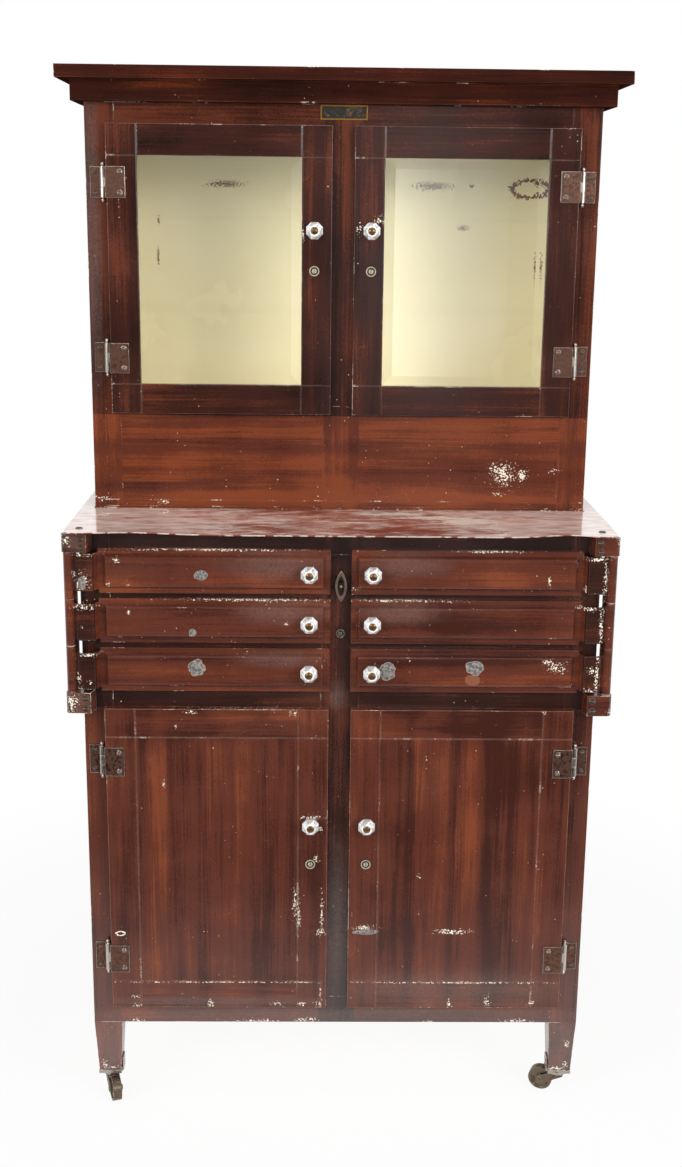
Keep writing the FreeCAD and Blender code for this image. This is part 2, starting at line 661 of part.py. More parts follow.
def lower_door(holes):
    """Hollow panel door: a pressed pan closed by a skin."""
    z0, z1 = LOWER_DOOR_Z
    front = -DOOR_THICK
    back = -SHEET
    pan = box(DOOR_IN, DOOR_OUT, front, back, z0, z1)
    pan = pan.cut(box(DOOR_IN + SHEET, DOOR_OUT - SHEET, front + SHEET, back, z0 + SHEET, z1 - SHEET))
    skin = box(DOOR_IN, DOOR_OUT, back, 0, z0, z1)
    for cutter in door_grooves(LOWER_DOOR_Z, 0) + holes:
        pan = pan.cut(cutter)
    for cutter in holes:
        skin = skin.cut(cutter)
    return [pan, skin]


def pane_edges(margin):
    """Corners of the upper door's daylight, grown by a margin."""
    z0, z1 = UPPER_DOOR_Z
    inset = DOOR_BORDER - margin
    return DOOR_IN + inset, DOOR_OUT - inset, z0 + inset, z1 - inset


def daylight(margin, y0, y1):
    x0, x1, z0, z1 = pane_edges(margin)
    return box(x0, x1, y0, y1, z0, z1)


def upper_door_frame(holes):
    """Hollow glazed frame: a pressed ring, and a skin whose flange holds the pane."""
    z0, z1 = UPPER_DOOR_Z
    front = UPPER_FACE - DOOR_THICK
    back = UPPER_FACE - SHEET
    rebate = PANE_LAP + PANE_FIT
    pan = box(DOOR_IN, DOOR_OUT, front, back, z0, z1)
    pocket = box(DOOR_IN + SHEET, DOOR_OUT - SHEET, front + SHEET, back, z0 + SHEET, z1 - SHEET)
    pan = pan.cut(pocket.cut(daylight(rebate + SHEET, front + SHEET, back)))
    pan = pan.cut(daylight(rebate, front + SHEET, back)).cut(daylight(0, front, front + SHEET))
    pane_back = front + SHEET + PANE_THICK
    skin = box(DOOR_IN, DOOR_OUT, back, UPPER_FACE, z0, z1)
    skin = skin.fuse(daylight(SHEET, pane_back, back)).cut(daylight(0, pane_back, UPPER_FACE))
    for cutter in door_grooves(UPPER_DOOR_Z, UPPER_FACE) + holes:
        pan = pan.cut(cutter)
    for cutter in holes:
        skin = skin.cut(cutter)
    return [pan, skin.removeSplitter()]


def bevelled_pane():
    """Pane whose front is ground to a wide bevel inside the frame."""
    front = UPPER_FACE - DOOR_THICK + SHEET
    step = front + PANE_BEVEL_DROP
    x0, x1, z0, z1 = pane_edges(PANE_LAP)
    inset = PANE_LAP + PANE_BEVEL
    plate = box(x0, x1, step, front + PANE_THICK, z0, z1)
    crown = taper(rectangle(x0 + PANE_LAP, x1 - PANE_LAP, z0 + PANE_LAP, z1 - PANE_LAP, step),
                  rectangle(x0 + inset, x1 - inset, z0 + inset, z1 - inset, front))
    rim = box(x0, x1, front, step, z0, z1).cut(daylight(0, front, step))
    return plate.fuse(crown).fuse(rim).removeSplitter()


def drawer_front(level):
    """Pressed front with a raised field, the arm round the corner and the sleeve on the rod."""
    z0 = pan_z(level)
    z1 = z0 + PAN_HEIGHT

    def plate(inset, y):
        return rectangle(DRAWER_IN + inset, DRAWER_OUT - inset, z0 + inset, z1 - inset, y)
    crest = PAN_RIM_WIDTH + PAN_BEVEL
    outer = box(DRAWER_IN, DRAWER_OUT, -PAN_RIM, -FACE_GAP, z0, z1)
    outer = outer.fuse(taper(plate(PAN_RIM_WIDTH, -PAN_RIM), plate(crest, -PAN_FIELD)))
    inner = box(DRAWER_IN + SHEET, DRAWER_OUT - SHEET, SHEET - PAN_RIM, -FACE_GAP, z0 + SHEET, z1 - SHEET)
    well = taper(plate(PAN_RIM_WIDTH + SHEET, SHEET - PAN_RIM), plate(crest + SHEET, SHEET - PAN_FIELD))
    inner = inner.fuse(well)
    arm_low = z0 + (PAN_HEIGHT - ARM_HEIGHT) / 2
    sleeve_low = STACK_LOW + level * SLEEVE_PITCH + WASHER_THICK + END_PLAY
    sleeve_top = STACK_LOW + (level + 1) * SLEEVE_PITCH - END_PLAY
    curl = PIVOT.x - SLEEVE_RADIUS
    ramp = DRAWER_OUT + ARM_RAMP
    inside = -ARM_BULGE + ARM_THICK
    plan = [(DRAWER_OUT, -FACE_GAP - ARM_THICK), (DRAWER_OUT, -PAN_RIM), (ramp, -ARM_BULGE)]
    plan += [(curl - 2 * ARM_CURL, -ARM_BULGE), (curl - ARM_CURL, -ARM_BULGE + ARM_CURL / 2)]
    plan += [(curl + ARM_THICK / 2, PIVOT.y - ARM_THICK / 2), (curl + ARM_THICK / 2, PIVOT.y + ARM_THICK / 2)]
    plan += [(curl - ARM_CURL - ARM_THICK, inside + ARM_CURL / 2), (curl - 2 * ARM_CURL, inside)]
    plan += [(ramp + ARM_THICK, inside)]
    arm = prism(plan, arm_low, arm_low + ARM_HEIGHT)
    bore = pivot_line(ROD_RADIUS + RUNNING_FIT, sleeve_low, sleeve_top)
    front = outer.cut(inner).fuse(arm).fuse(pivot_line(SLEEVE_RADIUS, sleeve_low, sleeve_top)).cut(bore)
    return front.cut(knob_hole(drawer_knob_place(level))).removeSplitter()


def drawer_tray(level):
    """Quarter-round tray that clears the centre post as it swings out on the rod."""
    low = pan_z(level) + (PAN_HEIGHT - TRAY_HEIGHT) / 2
    reach = PIVOT.x - POST_HALF - TRAY_POST_GAP
    start = SHEET - PAN_FIELD

    def slab(wall, z0, z1):
        radius = reach - wall
        side = STILE_IN - TRAY_SIDE_GAP - wall
        near = start + wall
        far = TRAY_DEPTH - wall
        def on_arc(y):
            return V(PIVOT.x - math.sqrt(radius ** 2 - (y - PIVOT.y) ** 2), y, z0)
        corners = [on_arc(near), V(side, near, z0), V(side, far, z0), on_arc(far)]
        edges = [Part.LineSegment(a, b).toShape() for a, b in zip(corners, corners[1:])]
        edges.append(Part.Arc(corners[3], on_arc((near + far) / 2), corners[0]).toShape())
        return Part.Face(Part.Wire(edges)).extrude(V(0, 0, z1 - z0))
    tray = slab(0, low, low + TRAY_HEIGHT).cut(slab(TRAY_WALL, low + TRAY_WALL, low + TRAY_HEIGHT))
    return tray.cut(knob_hole(drawer_knob_place(level)))


def drawer_knob_place(level):
    return V(DRAWER_IN + DRAWER_KNOB_INSET, -PAN_FIELD, pan_z(level) + PAN_HEIGHT / 2)


def turn_button():
    """Almond button on a hub, with its spindle and nut through the centre post."""
    z = turn_button_z()
    back = -PAN_RIM - BUTTON_CLEAR

    def almond(half_length, half_width):
        top = V(0, back, z + half_length)
        low = V(0, back, z - half_length)
        right = Part.Arc(low, V(half_width, back, z), top).toShape()
        left = Part.Arc(top, V(-half_width, back, z), low).toShape()
        return Part.Face(Part.Wire([right, left])).extrude(V(0, -BUTTON_THICK, 0))
    ring = almond(BUTTON_LENGTH / 2, BUTTON_WIDTH / 2)
    ring = ring.cut(almond(BUTTON_LENGTH / 2 - 2 * BUTTON_WALL, BUTTON_WIDTH / 2 - BUTTON_WALL))
    hub = rod(BUTTON_HUB, V(0, back - BUTTON_THICK, z), V(0, -RUNNING_FIT, z))
    spindle = rod(BUTTON_SPINDLE, V(0, -RUNNING_FIT, z), V(0, SHEET + RUNNING_FIT + BUTTON_NUT_THICK, z))
    nut = rod(BUTTON_NUT, V(0, SHEET + RUNNING_FIT, z), V(0, SHEET + RUNNING_FIT + BUTTON_NUT_THICK, z))
    return ring.fuse(hub).fuse(spindle).fuse(nut).removeSplitter()


def glass_shelf_z():
    return [UPPER_FLOOR_Z + SHELF_PITCH * k for k in (1, 2)]


def shelves():
    reach = HALF - SHEET - SHELF_SIDE_GAP
    y0 = UPPER_FACE + FRAME_DEPTH + SHELF_FRONT_GAP
    y1 = BASE_DEPTH - SHEET - SHELF_BACK_GAP
    return [box(-reach, reach, y0, y1, z, z + SHELF_THICK) for z in glass_shelf_z()]


def shelf_rests():
    """Angle strips on the upper case's sides."""
    pieces = []
    wall = HALF - SHEET
    y0 = UPPER_FACE + FRAME_DEPTH + SHELF_FRONT_GAP + REST_INSET
    y1 = BASE_DEPTH - SHEET - SHELF_BACK_GAP - REST_INSET
    for z in glass_shelf_z():
        ledge = box(wall - REST_WIDTH, wall, y0, y1, z - REST_THICK, z)
        pieces += both(ledge.fuse(box(wall - REST_THICK, wall, y0, y1, z - REST_DROP, z)).removeSplitter())
    return pieces


def nameplate():
    """Bare plate with a raised border."""
    z = UPPER_TOP - PLATE_DROP
    half = PLATE_WIDTH / 2
    rise = PLATE_HEIGHT / 2
    front = UPPER_FACE - PLATE_THICK
    plate = box(-half, half, front, UPPER_FACE, z - rise, z + rise)
    b = PLATE_BORDER
    return plate.cut(box(b - half, half - b, front, front + PLATE_RECESS, z - rise + b, z + rise - b))


def build_case():
    frame_back = FRAME_DEPTH
    inside = BASE_DEPTH - SHEET
    save("base_side_panels", side_panels(frame_back, BASE_DEPTH, BASE_Z, COUNTER_Z))
    save("base_back_panel", [inner_sheet(inside, BASE_DEPTH, BASE_Z, COUNTER_Z)])
    save("base_face_frame", base_face_frame())
    save("base_floor_panel", [inner_sheet(frame_back, inside, BASE_Z, BASE_Z + SHEET)])
    save("drawer_deck", [inner_sheet(frame_back, inside, DECK_Z - SHEET, DECK_Z)])
    save("counter_top", [counter_top()])
    upper_back = UPPER_FACE + FRAME_DEPTH
    save("upper_side_panels", side_panels(upper_back, BASE_DEPTH, UPPER_Z, UPPER_TOP))
    save("upper_back_panel", [inner_sheet(inside, BASE_DEPTH, UPPER_Z, UPPER_TOP)])
    save("upper_face_frame", upper_face_frame())
    save("upper_floor_panel", [inner_sheet(upper_back, inside, UPPER_FLOOR_Z - SHEET, UPPER_FLOOR_Z)])
    save("cornice", cornice())
    save("glass_shelves", shelves())
    save("shelf_rests", shelf_rests())
    save("nameplate", [nameplate()])


def build_stand():
    save("tapered_legs", both(tapered_leg(True)) + both(tapered_leg(False)))
    save("caster_sockets", [caster_socket(axis) for axis, _ in CASTER_AXES.values()])
    for name, (axis, trail) in CASTER_AXES.items():
        save(name + "_caster_fork", turned(caster_fork(), axis, trail).Solids)
        save(name + "_caster_wheel", [turned(caster_wheel(), axis, trail)])


def build_fixed_fittings():
    lower = both(bracket(STACK_LOW - LOWER_BRACKET_HEIGHT, STACK_LOW))
    save("pivot_brackets", lower + both(bracket(STACK_TOP, COUNTER_Z)))
    save("pivot_rods", pivot_rods())
    save("hinge_frame_leaves", fixed_hinge_pieces())
    save("screws", fixed_screws())


def build_doors():
    upper = door_fittings(UPPER_DOOR_Z, UPPER_FACE, UPPER_KNOB_DROP, UPPER_LOCK_DROP)
    lower = door_fittings(LOWER_DOOR_Z, 0, LOWER_KNOB_DROP, LOWER_LOCK_DROP)
    upper_knob, upper_lock, upper_holes = upper
    lower_knob, lower_lock, lower_holes = lower
    upper_cam = UPPER_FACE + FRAME_DEPTH + CAM_GAP
    pieces = {
        "upper_{}_door_frame": upper_door_frame(upper_holes),
        "upper_{}_door_glass": [bevelled_pane()],
        "upper_{}_door_knob": knob(upper_knob),
        "upper_{}_door_hinge_leaves": door_hinge_leaves(UPPER_DOOR_Z, UPPER_FACE),
        "upper_{}_door_lock_plug": [lock_plug(upper_lock, DOOR_LOCK_RADIUS, upper_cam)],
        "lower_{}_door_panel": lower_door(lower_holes),
        "lower_{}_door_knob": knob(lower_knob),
        "lower_{}_door_hinge_leaves": door_hinge_leaves(LOWER_DOOR_Z, 0),
        "lower_{}_door_lock_plug": [lock_plug(lower_lock, DOOR_LOCK_RADIUS, FRAME_DEPTH + CAM_GAP)],
    }
    for node, solids in pieces.items():
        save(node.format("right"), [solid.copy() for solid in solids])
        save(node.format("left"), [mirrored(solid) for solid in solids])


def build_drawers():
    for level, row in enumerate(("low", "middle", "top")):
        drawer = [drawer_front(level), drawer_tray(level)]
        handle = knob(drawer_knob_place(level))
        save(row + "_right_drawer", [solid.copy() for solid in drawer])
        save(row + "_left_drawer", [mirrored(solid) for solid in drawer])
        save(row + "_right_drawer_knob", [solid.copy() for solid in handle])
        save(row + "_left_drawer_knob", [mirrored(solid) for solid in handle])
    save("turn_button", [turn_button()])
    lock_at = V(0, 0, drawer_lock_z())
    save("drawer_lock_plug", [lock_plug(lock_at, DRAWER_LOCK_RADIUS, FRAME_DEPTH + CAM_GAP)])


os.makedirs("parts", exist_ok=True)
build_case()
build_stand()
build_fixed_fittings()
build_doors()
build_drawers()
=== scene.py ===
"""Dresses the dental cabinet: grained enamel, glass, worn metal and a white studio."""

import math

import bmesh
import bpy
from bpy.props import FloatProperty, FloatVectorProperty, IntProperty, PointerProperty
from mathutils import Matrix, Vector


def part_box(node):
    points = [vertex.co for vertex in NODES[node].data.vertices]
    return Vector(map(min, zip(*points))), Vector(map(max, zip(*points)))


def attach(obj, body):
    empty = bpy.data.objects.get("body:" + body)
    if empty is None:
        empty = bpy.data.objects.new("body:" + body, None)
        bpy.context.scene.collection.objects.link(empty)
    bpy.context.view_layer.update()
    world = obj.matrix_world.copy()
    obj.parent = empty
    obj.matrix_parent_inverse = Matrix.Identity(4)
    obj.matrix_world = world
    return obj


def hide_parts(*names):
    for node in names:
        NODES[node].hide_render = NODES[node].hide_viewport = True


bl_info = {
    "name": "Dental Cabinet",
    "version": (1, 0, 0),
    "blender": (4, 5, 0),
    "location": "3D View > Sidebar > Cabinet",
    "description": "Finishes, knobs, lock rims and studio for a steel dental cabinet",
    "category": "Object",
}

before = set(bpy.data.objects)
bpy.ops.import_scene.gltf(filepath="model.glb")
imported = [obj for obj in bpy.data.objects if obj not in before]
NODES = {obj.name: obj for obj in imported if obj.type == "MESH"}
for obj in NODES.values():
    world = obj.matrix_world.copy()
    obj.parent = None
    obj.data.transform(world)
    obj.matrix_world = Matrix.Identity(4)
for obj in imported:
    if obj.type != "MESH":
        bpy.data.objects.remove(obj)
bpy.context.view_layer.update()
MM = 0.001

SIDES = ("left", "right")
DRAWERS = [f"{level}_{side}_drawer" for level in ("low", "middle", "top") for side in SIDES]
UPPER_DOORS = [f"upper_{side}_door" for side in SIDES]
LOWER_DOORS = [f"lower_{side}_door" for side in SIDES]
DOORS = UPPER_DOORS + LOWER_DOORS
CASTERS = [f"{end}_{side}_caster" for end in ("front", "rear") for side in SIDES]

ACROSS = (1, 0, 0)
BACKWARD = (0, 1, 0)
UPWARD = (0, 0, 1)

# Zones in millimetres: a direction, and where the zone starts and ends along it. Left and right count as
# one.
EVERYWHERE = (UPWARD, 0, 2000)
CASE_CORE = (ACROSS, 0, 399.2)
BACKS_INSIDE = (BACKWARD, 0, 209.2)
BASE_FRAME_INSIDE = (BACKWARD, -168.4, 0)
UPPER_FRAME_INSIDE = (BACKWARD, 10.7, 100)
UPPER_DOORS_INSIDE = (BACKWARD, 8.8, 100)
LOWER_DOORS_INSIDE = (BACKWARD, -170.2, 0)
DRAWERS_INSIDE = (BACKWARD, -170.6, 200)
# On the base frame, the darker colours in the drawer opening and on the centre post are old dark enamel with
# painted shade round the drawers and beside the doors.
DRAWER_OPENING = (UPWARD, 691, 980)
CENTRE_POST = (ACROSS, 0, 30)
UPPER_CASE = (UPWARD, 1127, 2000)
DRAWER_ARMS = (ACROSS, 376, 408)

# Spans of x from the middle, in millimetres, where the grain of a frame or a door lies along its rails.
FRAME_RAILS = (29.5, 354.5)
DOOR_RAILS = (64.5, 319.5)
DOOR_RAIL_HEIGHT = 47

# Where marks sit, in millimetres: x, height (or depth on the counter), half width and half height.
COUNTER_SMEARS = ((200, -92, 40, 24), (150, -66, 60, 11), (90, -40, 50, 9))
BACKBOARD_GLOOM = ((0, 1088, 900, 13), (-250, 1022, 200, 10), (180, 1048, 240, 11))
# The first band is painted shade on the post between the upper doors, which stand in front of it.
POST_SHADE_AND_GLOOM = ((0, 1370, 16, 260), (-390, 1380, 18, 260))
BACKBOARD_GLOW = ((0, 1003, 460, 15), )
# Grey band on the upper frame's left stile: a painted sheen.
UPPER_FRAME_SHEEN = ((-392, 1420, 14, 230), )
BACKBOARD_CHIPS = ((266, 1034, 16, 15), (251, 1041, 7, 9), (297, 1032, 7, 9), (348, 1040, 8, 3),
                   (259, 1002, 10, 2), (-389, 989, 11, 3), (-288, 985, 8, 3))
UPPER_DOOR_CHIPS = ((58, 1435, 8, 6), (26, 1422, 4, 6), (-63, 1412, 2, 12))
WALL_STAINS = ((-195, 1491, 26, 5), (153, 1491, 28, 6), (220, 1492, 4, 3), (333, 1358, 2, 20),
               (344, 1351, 2, 16), (-311, 1371, 2, 14), (-309, 1431, 2, 6), (206, 1423, 9, 4))
WALL_RING = ((315, 1488, 26, 14), )
DRAWER_BARE = ((-214, 908, 11, 8), (-228, 817, 6, 6), (-222, 761, 13, 14), (73, 757, 13, 15),
               (209, 763, 15, 12), (-394, 897, 6, 10))
DRAWER_TOUCHED = ((206, 743, 12, 9), )
DRAWER_CHIPS = ((-205, 947, 115, 2), (-135, 868.5, 100, 2), (223, 947, 45, 2), (95, 868.5, 66, 2),
                (-356, 893, 4, 2), (-326, 893, 4, 3), (-342, 930, 3, 5), (-325, 849, 3, 3), (-84, 833, 3, 3),
                (319, 903, 2, 8), (23, 888, 4, 4), (328, 810, 7, 2), (323, 773, 8, 3), (-394, 897, 8, 12),
                (336, 764, 12, 7))
ARM_CHIPS = ((-392, 941, 16, 3), (-407, 910, 3, 6), (-392, 858, 16, 4), (-396, 828, 2, 2), (-384, 803, 8, 2),
             (-388, 783, 14, 3), (-403, 743, 3, 7), (-386, 739, 2, 3), (-401, 727, 4, 4), (392, 939, 14, 3),
             (405, 910, 3, 32), (401, 830, 3, 30), (380, 860, 12, 3), (398, 752, 3, 28), (389, 760, 5, 5),
             (388, 728, 9, 5), (375, 889, 2, 5))
DRAWER_FILMS = ((-95, 925, 75, 22), (-85, 850, 70, 18), (-90, 775, 60, 12), (100, 925, 60, 18),
                (90, 850, 60, 16))
DRAWER_GLOW = ((-310, 742, 60, 14), (-190, 738, 70, 9), (-330, 900, 40, 14), (260, 915, 60, 16),
               (300, 740, 60, 12), (-200, 756, 170, 20), (200, 756, 170, 20))
DRAWER_GLOOM = ((-230, 940, 150, 10), (-250, 785, 140, 7), (210, 850, 90, 24), (170, 785, 120, 8),
                (-250, 865, 130, 8))
BRACKET_CHIPS = ((-416, 704, 9, 11), (-417, 962, 6, 8), (424, 696, 5, 6), (424, 962, 3, 8))
BRACKET_GLOOM = ((-412, 704, 20, 20), (-404, 962, 20, 14))
BRACKET_FILMS = ((-412, 704, 30, 30), (-404, 962, 20, 14))
BASE_CHIPS = ((-136, 143, 34, 3), (-60, 145, 10, 3), (-40, 146, 8, 4), (150, 143, 10, 2), (300, 143, 22, 4),
              (-330, 144, 10, 3))
# The first band is painted shade on the rail under the counter's overhang.
BASE_SHADE_AND_GLOOM = ((0, 958, 900, 17), (383, 515, 8, 28))
# The first spot is dust at the post's foot; the last band is a painted sheen along the foot rail.
BASE_DUST_AND_SHEEN = ((-4, 712, 12, 22), (0, 330, 20, 120), (0, 152, 460, 14))
LOWER_DOOR_BARE = ((45, 313, 22, 5), )
LOWER_DOOR_HOOPS = ((-351, 309, 7, 3.5), )
LOWER_DOOR_CHIPS = ((45, 320, 13, 4), (187, 314, 24, 4), (-28, 312, 7, 4), (-233, 688, 7, 3),
                    (-73, 688, 5, 4), (-63, 345, 3, 22), (-207, 183, 4, 7), (-326, 179, 7, 4),
                    (-57, 183, 6, 4), (-28, 181, 7, 4), (186, 184, 3, 9), (248, 186, 4, 10), (130, 412, 3, 3),
                    (-43, 512, 14, 3), (-35, 441, 3, 5), (-27, 493, 3, 4), (-69, 366, 3, 22),
                    (-25, 345, 2, 28), (-329, 196, 5, 3), (-97, 184, 7, 3), (-26, 204, 2, 9),
                    (-256, 664, 2, 3), (-276, 569, 2, 5), (-150, 694, 110, 1), (192, 222, 150, 1),
                    (-180, 222, 150, 1), (320, 690, 3, 2), (320, 185, 4, 3))
LOWER_DOOR_GLOOM = ((-205, 440, 12, 330), (-110, 440, 17, 330), (125, 440, 9, 330), (195, 440, 7, 330),
                    (268, 440, 22, 330), (-192, 668, 160, 18), (220, 674, 80, 8))
LOWER_DOOR_GLOW = ((-270, 440, 15, 330), (-160, 440, 26, 330), (162, 440, 20, 330), (224, 440, 15, 330),
                   (120, 672, 70, 22), (300, 672, 30, 22))
# Grey bands at the lower doors' feet: a painted sheen.
LOWER_DOOR_SHEEN = ((-192, 188, 190, 8), (192, 210, 190, 30))
LEG_CHIPS = ((-386, 58, 4, 8), (-352, 62, 4, 10), (-350, 90, 2, 14), (350, 95, 3, 26), (352, 62, 4, 10),
             (386, 100, 3, 8), (386, 60, 4, 6), (-370, 53, 14, 3), (370, 53, 14, 3))
# Grey bands on the legs: a painted sheen.
LEG_SHEEN = ((-370, 90, 60, 70), (370, 90, 60, 70))

OUTPUT = "ShaderNodeOutputMaterial"
WORLD_OUTPUT = "ShaderNodeOutputWorld"
LAMP_OUTPUT = "ShaderNodeOutputLight"
BACKGROUND = "ShaderNodeBackground"
PRINCIPLED = "ShaderNodeBsdfPrincipled"
CLEAR = "ShaderNodeBsdfTransparent"
EMISSION = "ShaderNodeEmission"
MIX_SHADER = "ShaderNodeMixShader"
LIGHT_PATH = "ShaderNodeLightPath"
COORDS = "ShaderNodeTexCoord"
GEOMETRY = "ShaderNodeNewGeometry"
NOISE = "ShaderNodeTexNoise"
CELLS = "ShaderNodeTexVoronoi"
MATH = "ShaderNodeMath"
VECTOR = "ShaderNodeVectorMath"
SPLIT = "ShaderNodeSeparateXYZ"
JOIN = "ShaderNodeCombineXYZ"
MIX = "ShaderNodeMix"
RANGE = "ShaderNodeMapRange"
BEVEL = "ShaderNodeBevel"
BUMP = "ShaderNodeBump"

# Sizes of the finishes' patterns and edges, in millimetres. Streaks have a length and a width. Grit, pits and
# orange peel are finer on real enamel and steel, and are drawn as coarse as they need to show.
BROAD_STREAK = (420.0, 22.0)
FINE_STREAK = (130.0, 2.6)
STREAK_DRIFT = 24.0
BRUSH_FEATHER = 14.0
MOTTLE = 120.0
GRIT = 2.4
WEAR_PATCH = 45.0
DUST_SPACING = 6.0
CRUMB = 4.0
ORANGE_PEEL = 5.0
EDGE_WEAR_RADIUS = 1.6
COUNTER_EDGE_RADIUS = 1.2
CREAM_EDGE_RADIUS = 2.0
METAL_EDGE_RADIUS = 1.3
BUTTON_EDGE_RADIUS = 1.0
COUNTER_CLOUD = 70.0
COUNTER_WISP = 9.0
COUNTER_CRUMB = 16.0
COUNTER_DENT = 30.0
COUNTER_ENDS = (110.0, 320.0)
CREAM_STAIN = 60.0
METAL_PIT = 1.6
PLATE_WEAR = 5.0
PLATE_BORDER = 2.2
PIN_RADIUS = 2.0
KNUCKLE_INSET = 4.5
KNUCKLE_REACH = 4.6
PAINTED_GLINT_SIZE = 4.0

# Kinds of flaked marks: size of the flakes in millimetres, how whole the middle is and how fast it thins.
CHIP = (2.4, 0.05, 0.11)
HOOP = (3.0, 0.2, 0.3)
BARE_RIM = (9.0, 1.17, 1.2)
BARE_METAL = (9.0, 1.12, 1.2)
TOUCHED_UP = (9.0, 1.15, 1.2)
STAIN = (2.0, 0.14, 0.15)
RUST_RING = (3.0, 0.12, 0.2)
SMEAR = (6.0, 0.36, 0.34)

BEVEL_SAMPLES = 6
ENAMEL_IOR = 1.5
GLASS_IOR = 1.5
CUT_GLASS_IOR = 1.6

# How far a normal turns from one painted tone of a cut facet to the next; the tones are painted light and
# reflection.
FACET_TURN = 0.35 / 3

# The counter's rows of points behind its front edge, and its bends: x, half width and rise. In millimetres.
COUNTER_ROWS = (0, 1.5, 4, 8, 13, 20, 28, 36, 48, 70, 130)
COUNTER_BENDS = ((-320, 75, 3.4), (345, 50, 4.2))
COUNTER_STEPS = 80

# Places, targets and sizes of the lamps, and the floor's half width, in metres. The side lamps' place is
# mirrored for the left one.
SIDE_LAMP = ((2.3, -2.7, 2.0), (0, 0, 1.0), (1.6, 1.6))
TOP_LAMP = ((0, -0.55, 2.6), (0, -0.1, 0.98), (1.4, 0.5))
HAZE_LAMP = ((0.4, -3.0, 1.36), (0.4, 0, 1.36), (0.468, 1.3))
FLOOR_REACH = 8.0

# Strength of the haze lamp at its left side. It falls by 1 across the lamp.
HAZE_START = 1.08

# Where the paper turns plain white, going out, and where the dim room ends, going back. In millimetres.
PAPER_FADE = (500.0, 1500.0)
ROOM_FADE = (-1100.0, -450.0)

# The same for the surroundings, as the backward part of a direction.
SURROUNDINGS_FADE = (-0.25, 0.3)


def linear(code):
    """Linear RGBA of an sRGB hex colour."""
    parts = [int(code[start:start + 2], 16) / 255 for start in (1, 3, 5)]
    flat = [part / 12.92 if part <= 0.04045 else ((part + 0.055) / 1.055) ** 2.4 for part in parts]
    return (*flat, 1.0)


def tint(name, description, code):
    """Colour property with an sRGB hex default."""
    return FloatVectorProperty(name=name, description=description, subtype="COLOR", size=4, min=0.0, max=1.0,
                               default=linear(code))


def length(name, description, size):
    """Length property with its default in millimetres."""
    return FloatProperty(name=name, description=description, unit="LENGTH", default=size * MM)


def angle(name, description, degrees):
    """Angle property with its default in degrees."""
    return FloatProperty(name=name, description=description, subtype="ANGLE", default=math.radians(degrees))


def power(name, description, watts):
    """Lamp power property."""
    return FloatProperty(name=name, description=description, unit="POWER", default=watts)


class CabinetColours(bpy.types.PropertyGroup):
    """Colours of the cabinet's finishes."""

    ground: tint("Mahogany ground", "Middle tone of the base's grained enamel", "#55291C")
    dark: tint("Dark grain", "Feathered dark streaks on the base", "#391A13")
    light: tint("Light grain", "Orange streaks on the base", "#74391F")
    deep_ground: tint("Deep ground", "Middle tone of the upper case's grained enamel", "#311711")
    deep_dark: tint("Deep dark grain", "Feathered dark streaks on the upper case", "#1F100D")
    deep_light: tint("Deep light grain", "Red streaks on the upper case", "#5A2A18")
    counter: tint("Counter", "Red-brown enamel of the counter", "#803A2B")
    haze: tint("Counter haze", "Dull bloom where the counter's gloss has gone", "#FFEFE6")
    primer: tint("Primer", "Cream first coat that shows in chips", "#E4DAC6")
    bare: tint("Bare steel", "Grey steel that shows in deep chips", "#92877D")
    cream: tint("Cream enamel", "Inside of the case, trays and doors", "#EBE0C3")
    rust: tint("Rust", "Rust on casters, cream edges and the inside wall", "#6B3A1E")
    brass: tint("Brass", "Old brass of the turn button's pin and the plate's border", "#A8803E")
    black: tint("Black enamel", "Ground of the bare nameplate", "#1A1513")


class CabinetSizes(bpy.types.PropertyGroup):
    """Sizes of the pieces that are modelled here."""

    knob_facets: IntProperty(name="Knob facets", description="Sides of each cut-glass knob", default=8, min=6)
    knob_screw_end: length("Knob screw end", "Screw length behind the knob's seat", 4.0)
    knob_collar: length("Knob collar", "Thickness of the collar under a knob", 3.0)
    knob_head: length("Knob screw head", "Height of the screw head on a knob", 2.0)
    knob_band: length("Knob band", "Width of the flat band round a knob", 4.0)
    rim_width: length("Lock rim width", "Width of the raised rim round a lock face", 1.9)
    rim_height: length("Lock rim height", "Height of the raised rim over a lock face", 1.2)
    plug_share: FloatProperty(name="Key plug", description="Key plug's radius as a share of the lock's",
                              subtype="FACTOR", default=0.48)
    key_slot: length("Key slot", "Width of the slot across the key plug", 1.3)
    tail_start: length("Sleeve tail start", "Where a sleeve's tail leaves it, from the rod", 5.0)
    tail_end: length("Sleeve tail end", "How far a sleeve's tail reaches from the rod", 13.0)
    tail_thick: length("Sleeve tail sheet", "Thickness of a sleeve's tail", 1.2)
    counter_corner: length("Counter corner", "Radius of the counter's front corners", 28.0)
    counter_edge: length("Counter edge", "Thickness of the counter's front edge", 1.6)
    counter_bend: length("Counter bend", "How far back the bent front edge reaches", 36.0)
    sleeve_gap: length("Sleeve gap", "How far a sleeve's tail covers the gap under a drawer", 7.8)
    sleeve_radius: length("Sleeve radius", "Outside radius of a drawer's pivot sleeve", 7.0)


class CabinetStage(bpy.types.PropertyGroup):
    """Camera and light of the studio."""

    lens: FloatProperty(name="Lens", description="Focal length", unit="CAMERA", default=45.65)
    camera: FloatVectorProperty(name="Camera", description="Place of the camera", unit="LENGTH",
                                subtype="TRANSLATION", default=(-0.0383, -2.3768, 1.4495))
    yaw: angle("Yaw", "Turn to the right", 0.997)
    pitch: angle("Pitch", "Tilt down", 14.145)
    roll: angle("Roll", "Turn about the view", 0.647)
    lamp_power: power("Lamp power", "Mean power of the two side lamps", 82.0)
    lamp_lean: FloatProperty(name="Lamp lean", description="How much stronger the right lamp is",
                             subtype="FACTOR", default=0.09)
    haze_power: power("Haze power", "Power of the lamp that the right pane mirrors", 5.3)
    top_power: power("Top power", "Power of the lamp over the counter", 9.0)
    fill: FloatProperty(name="Fill", description="Strength of the white surroundings", default=0.35)
    room: FloatProperty(name="Room", description="Brightness of the room behind the camera", default=0.07)


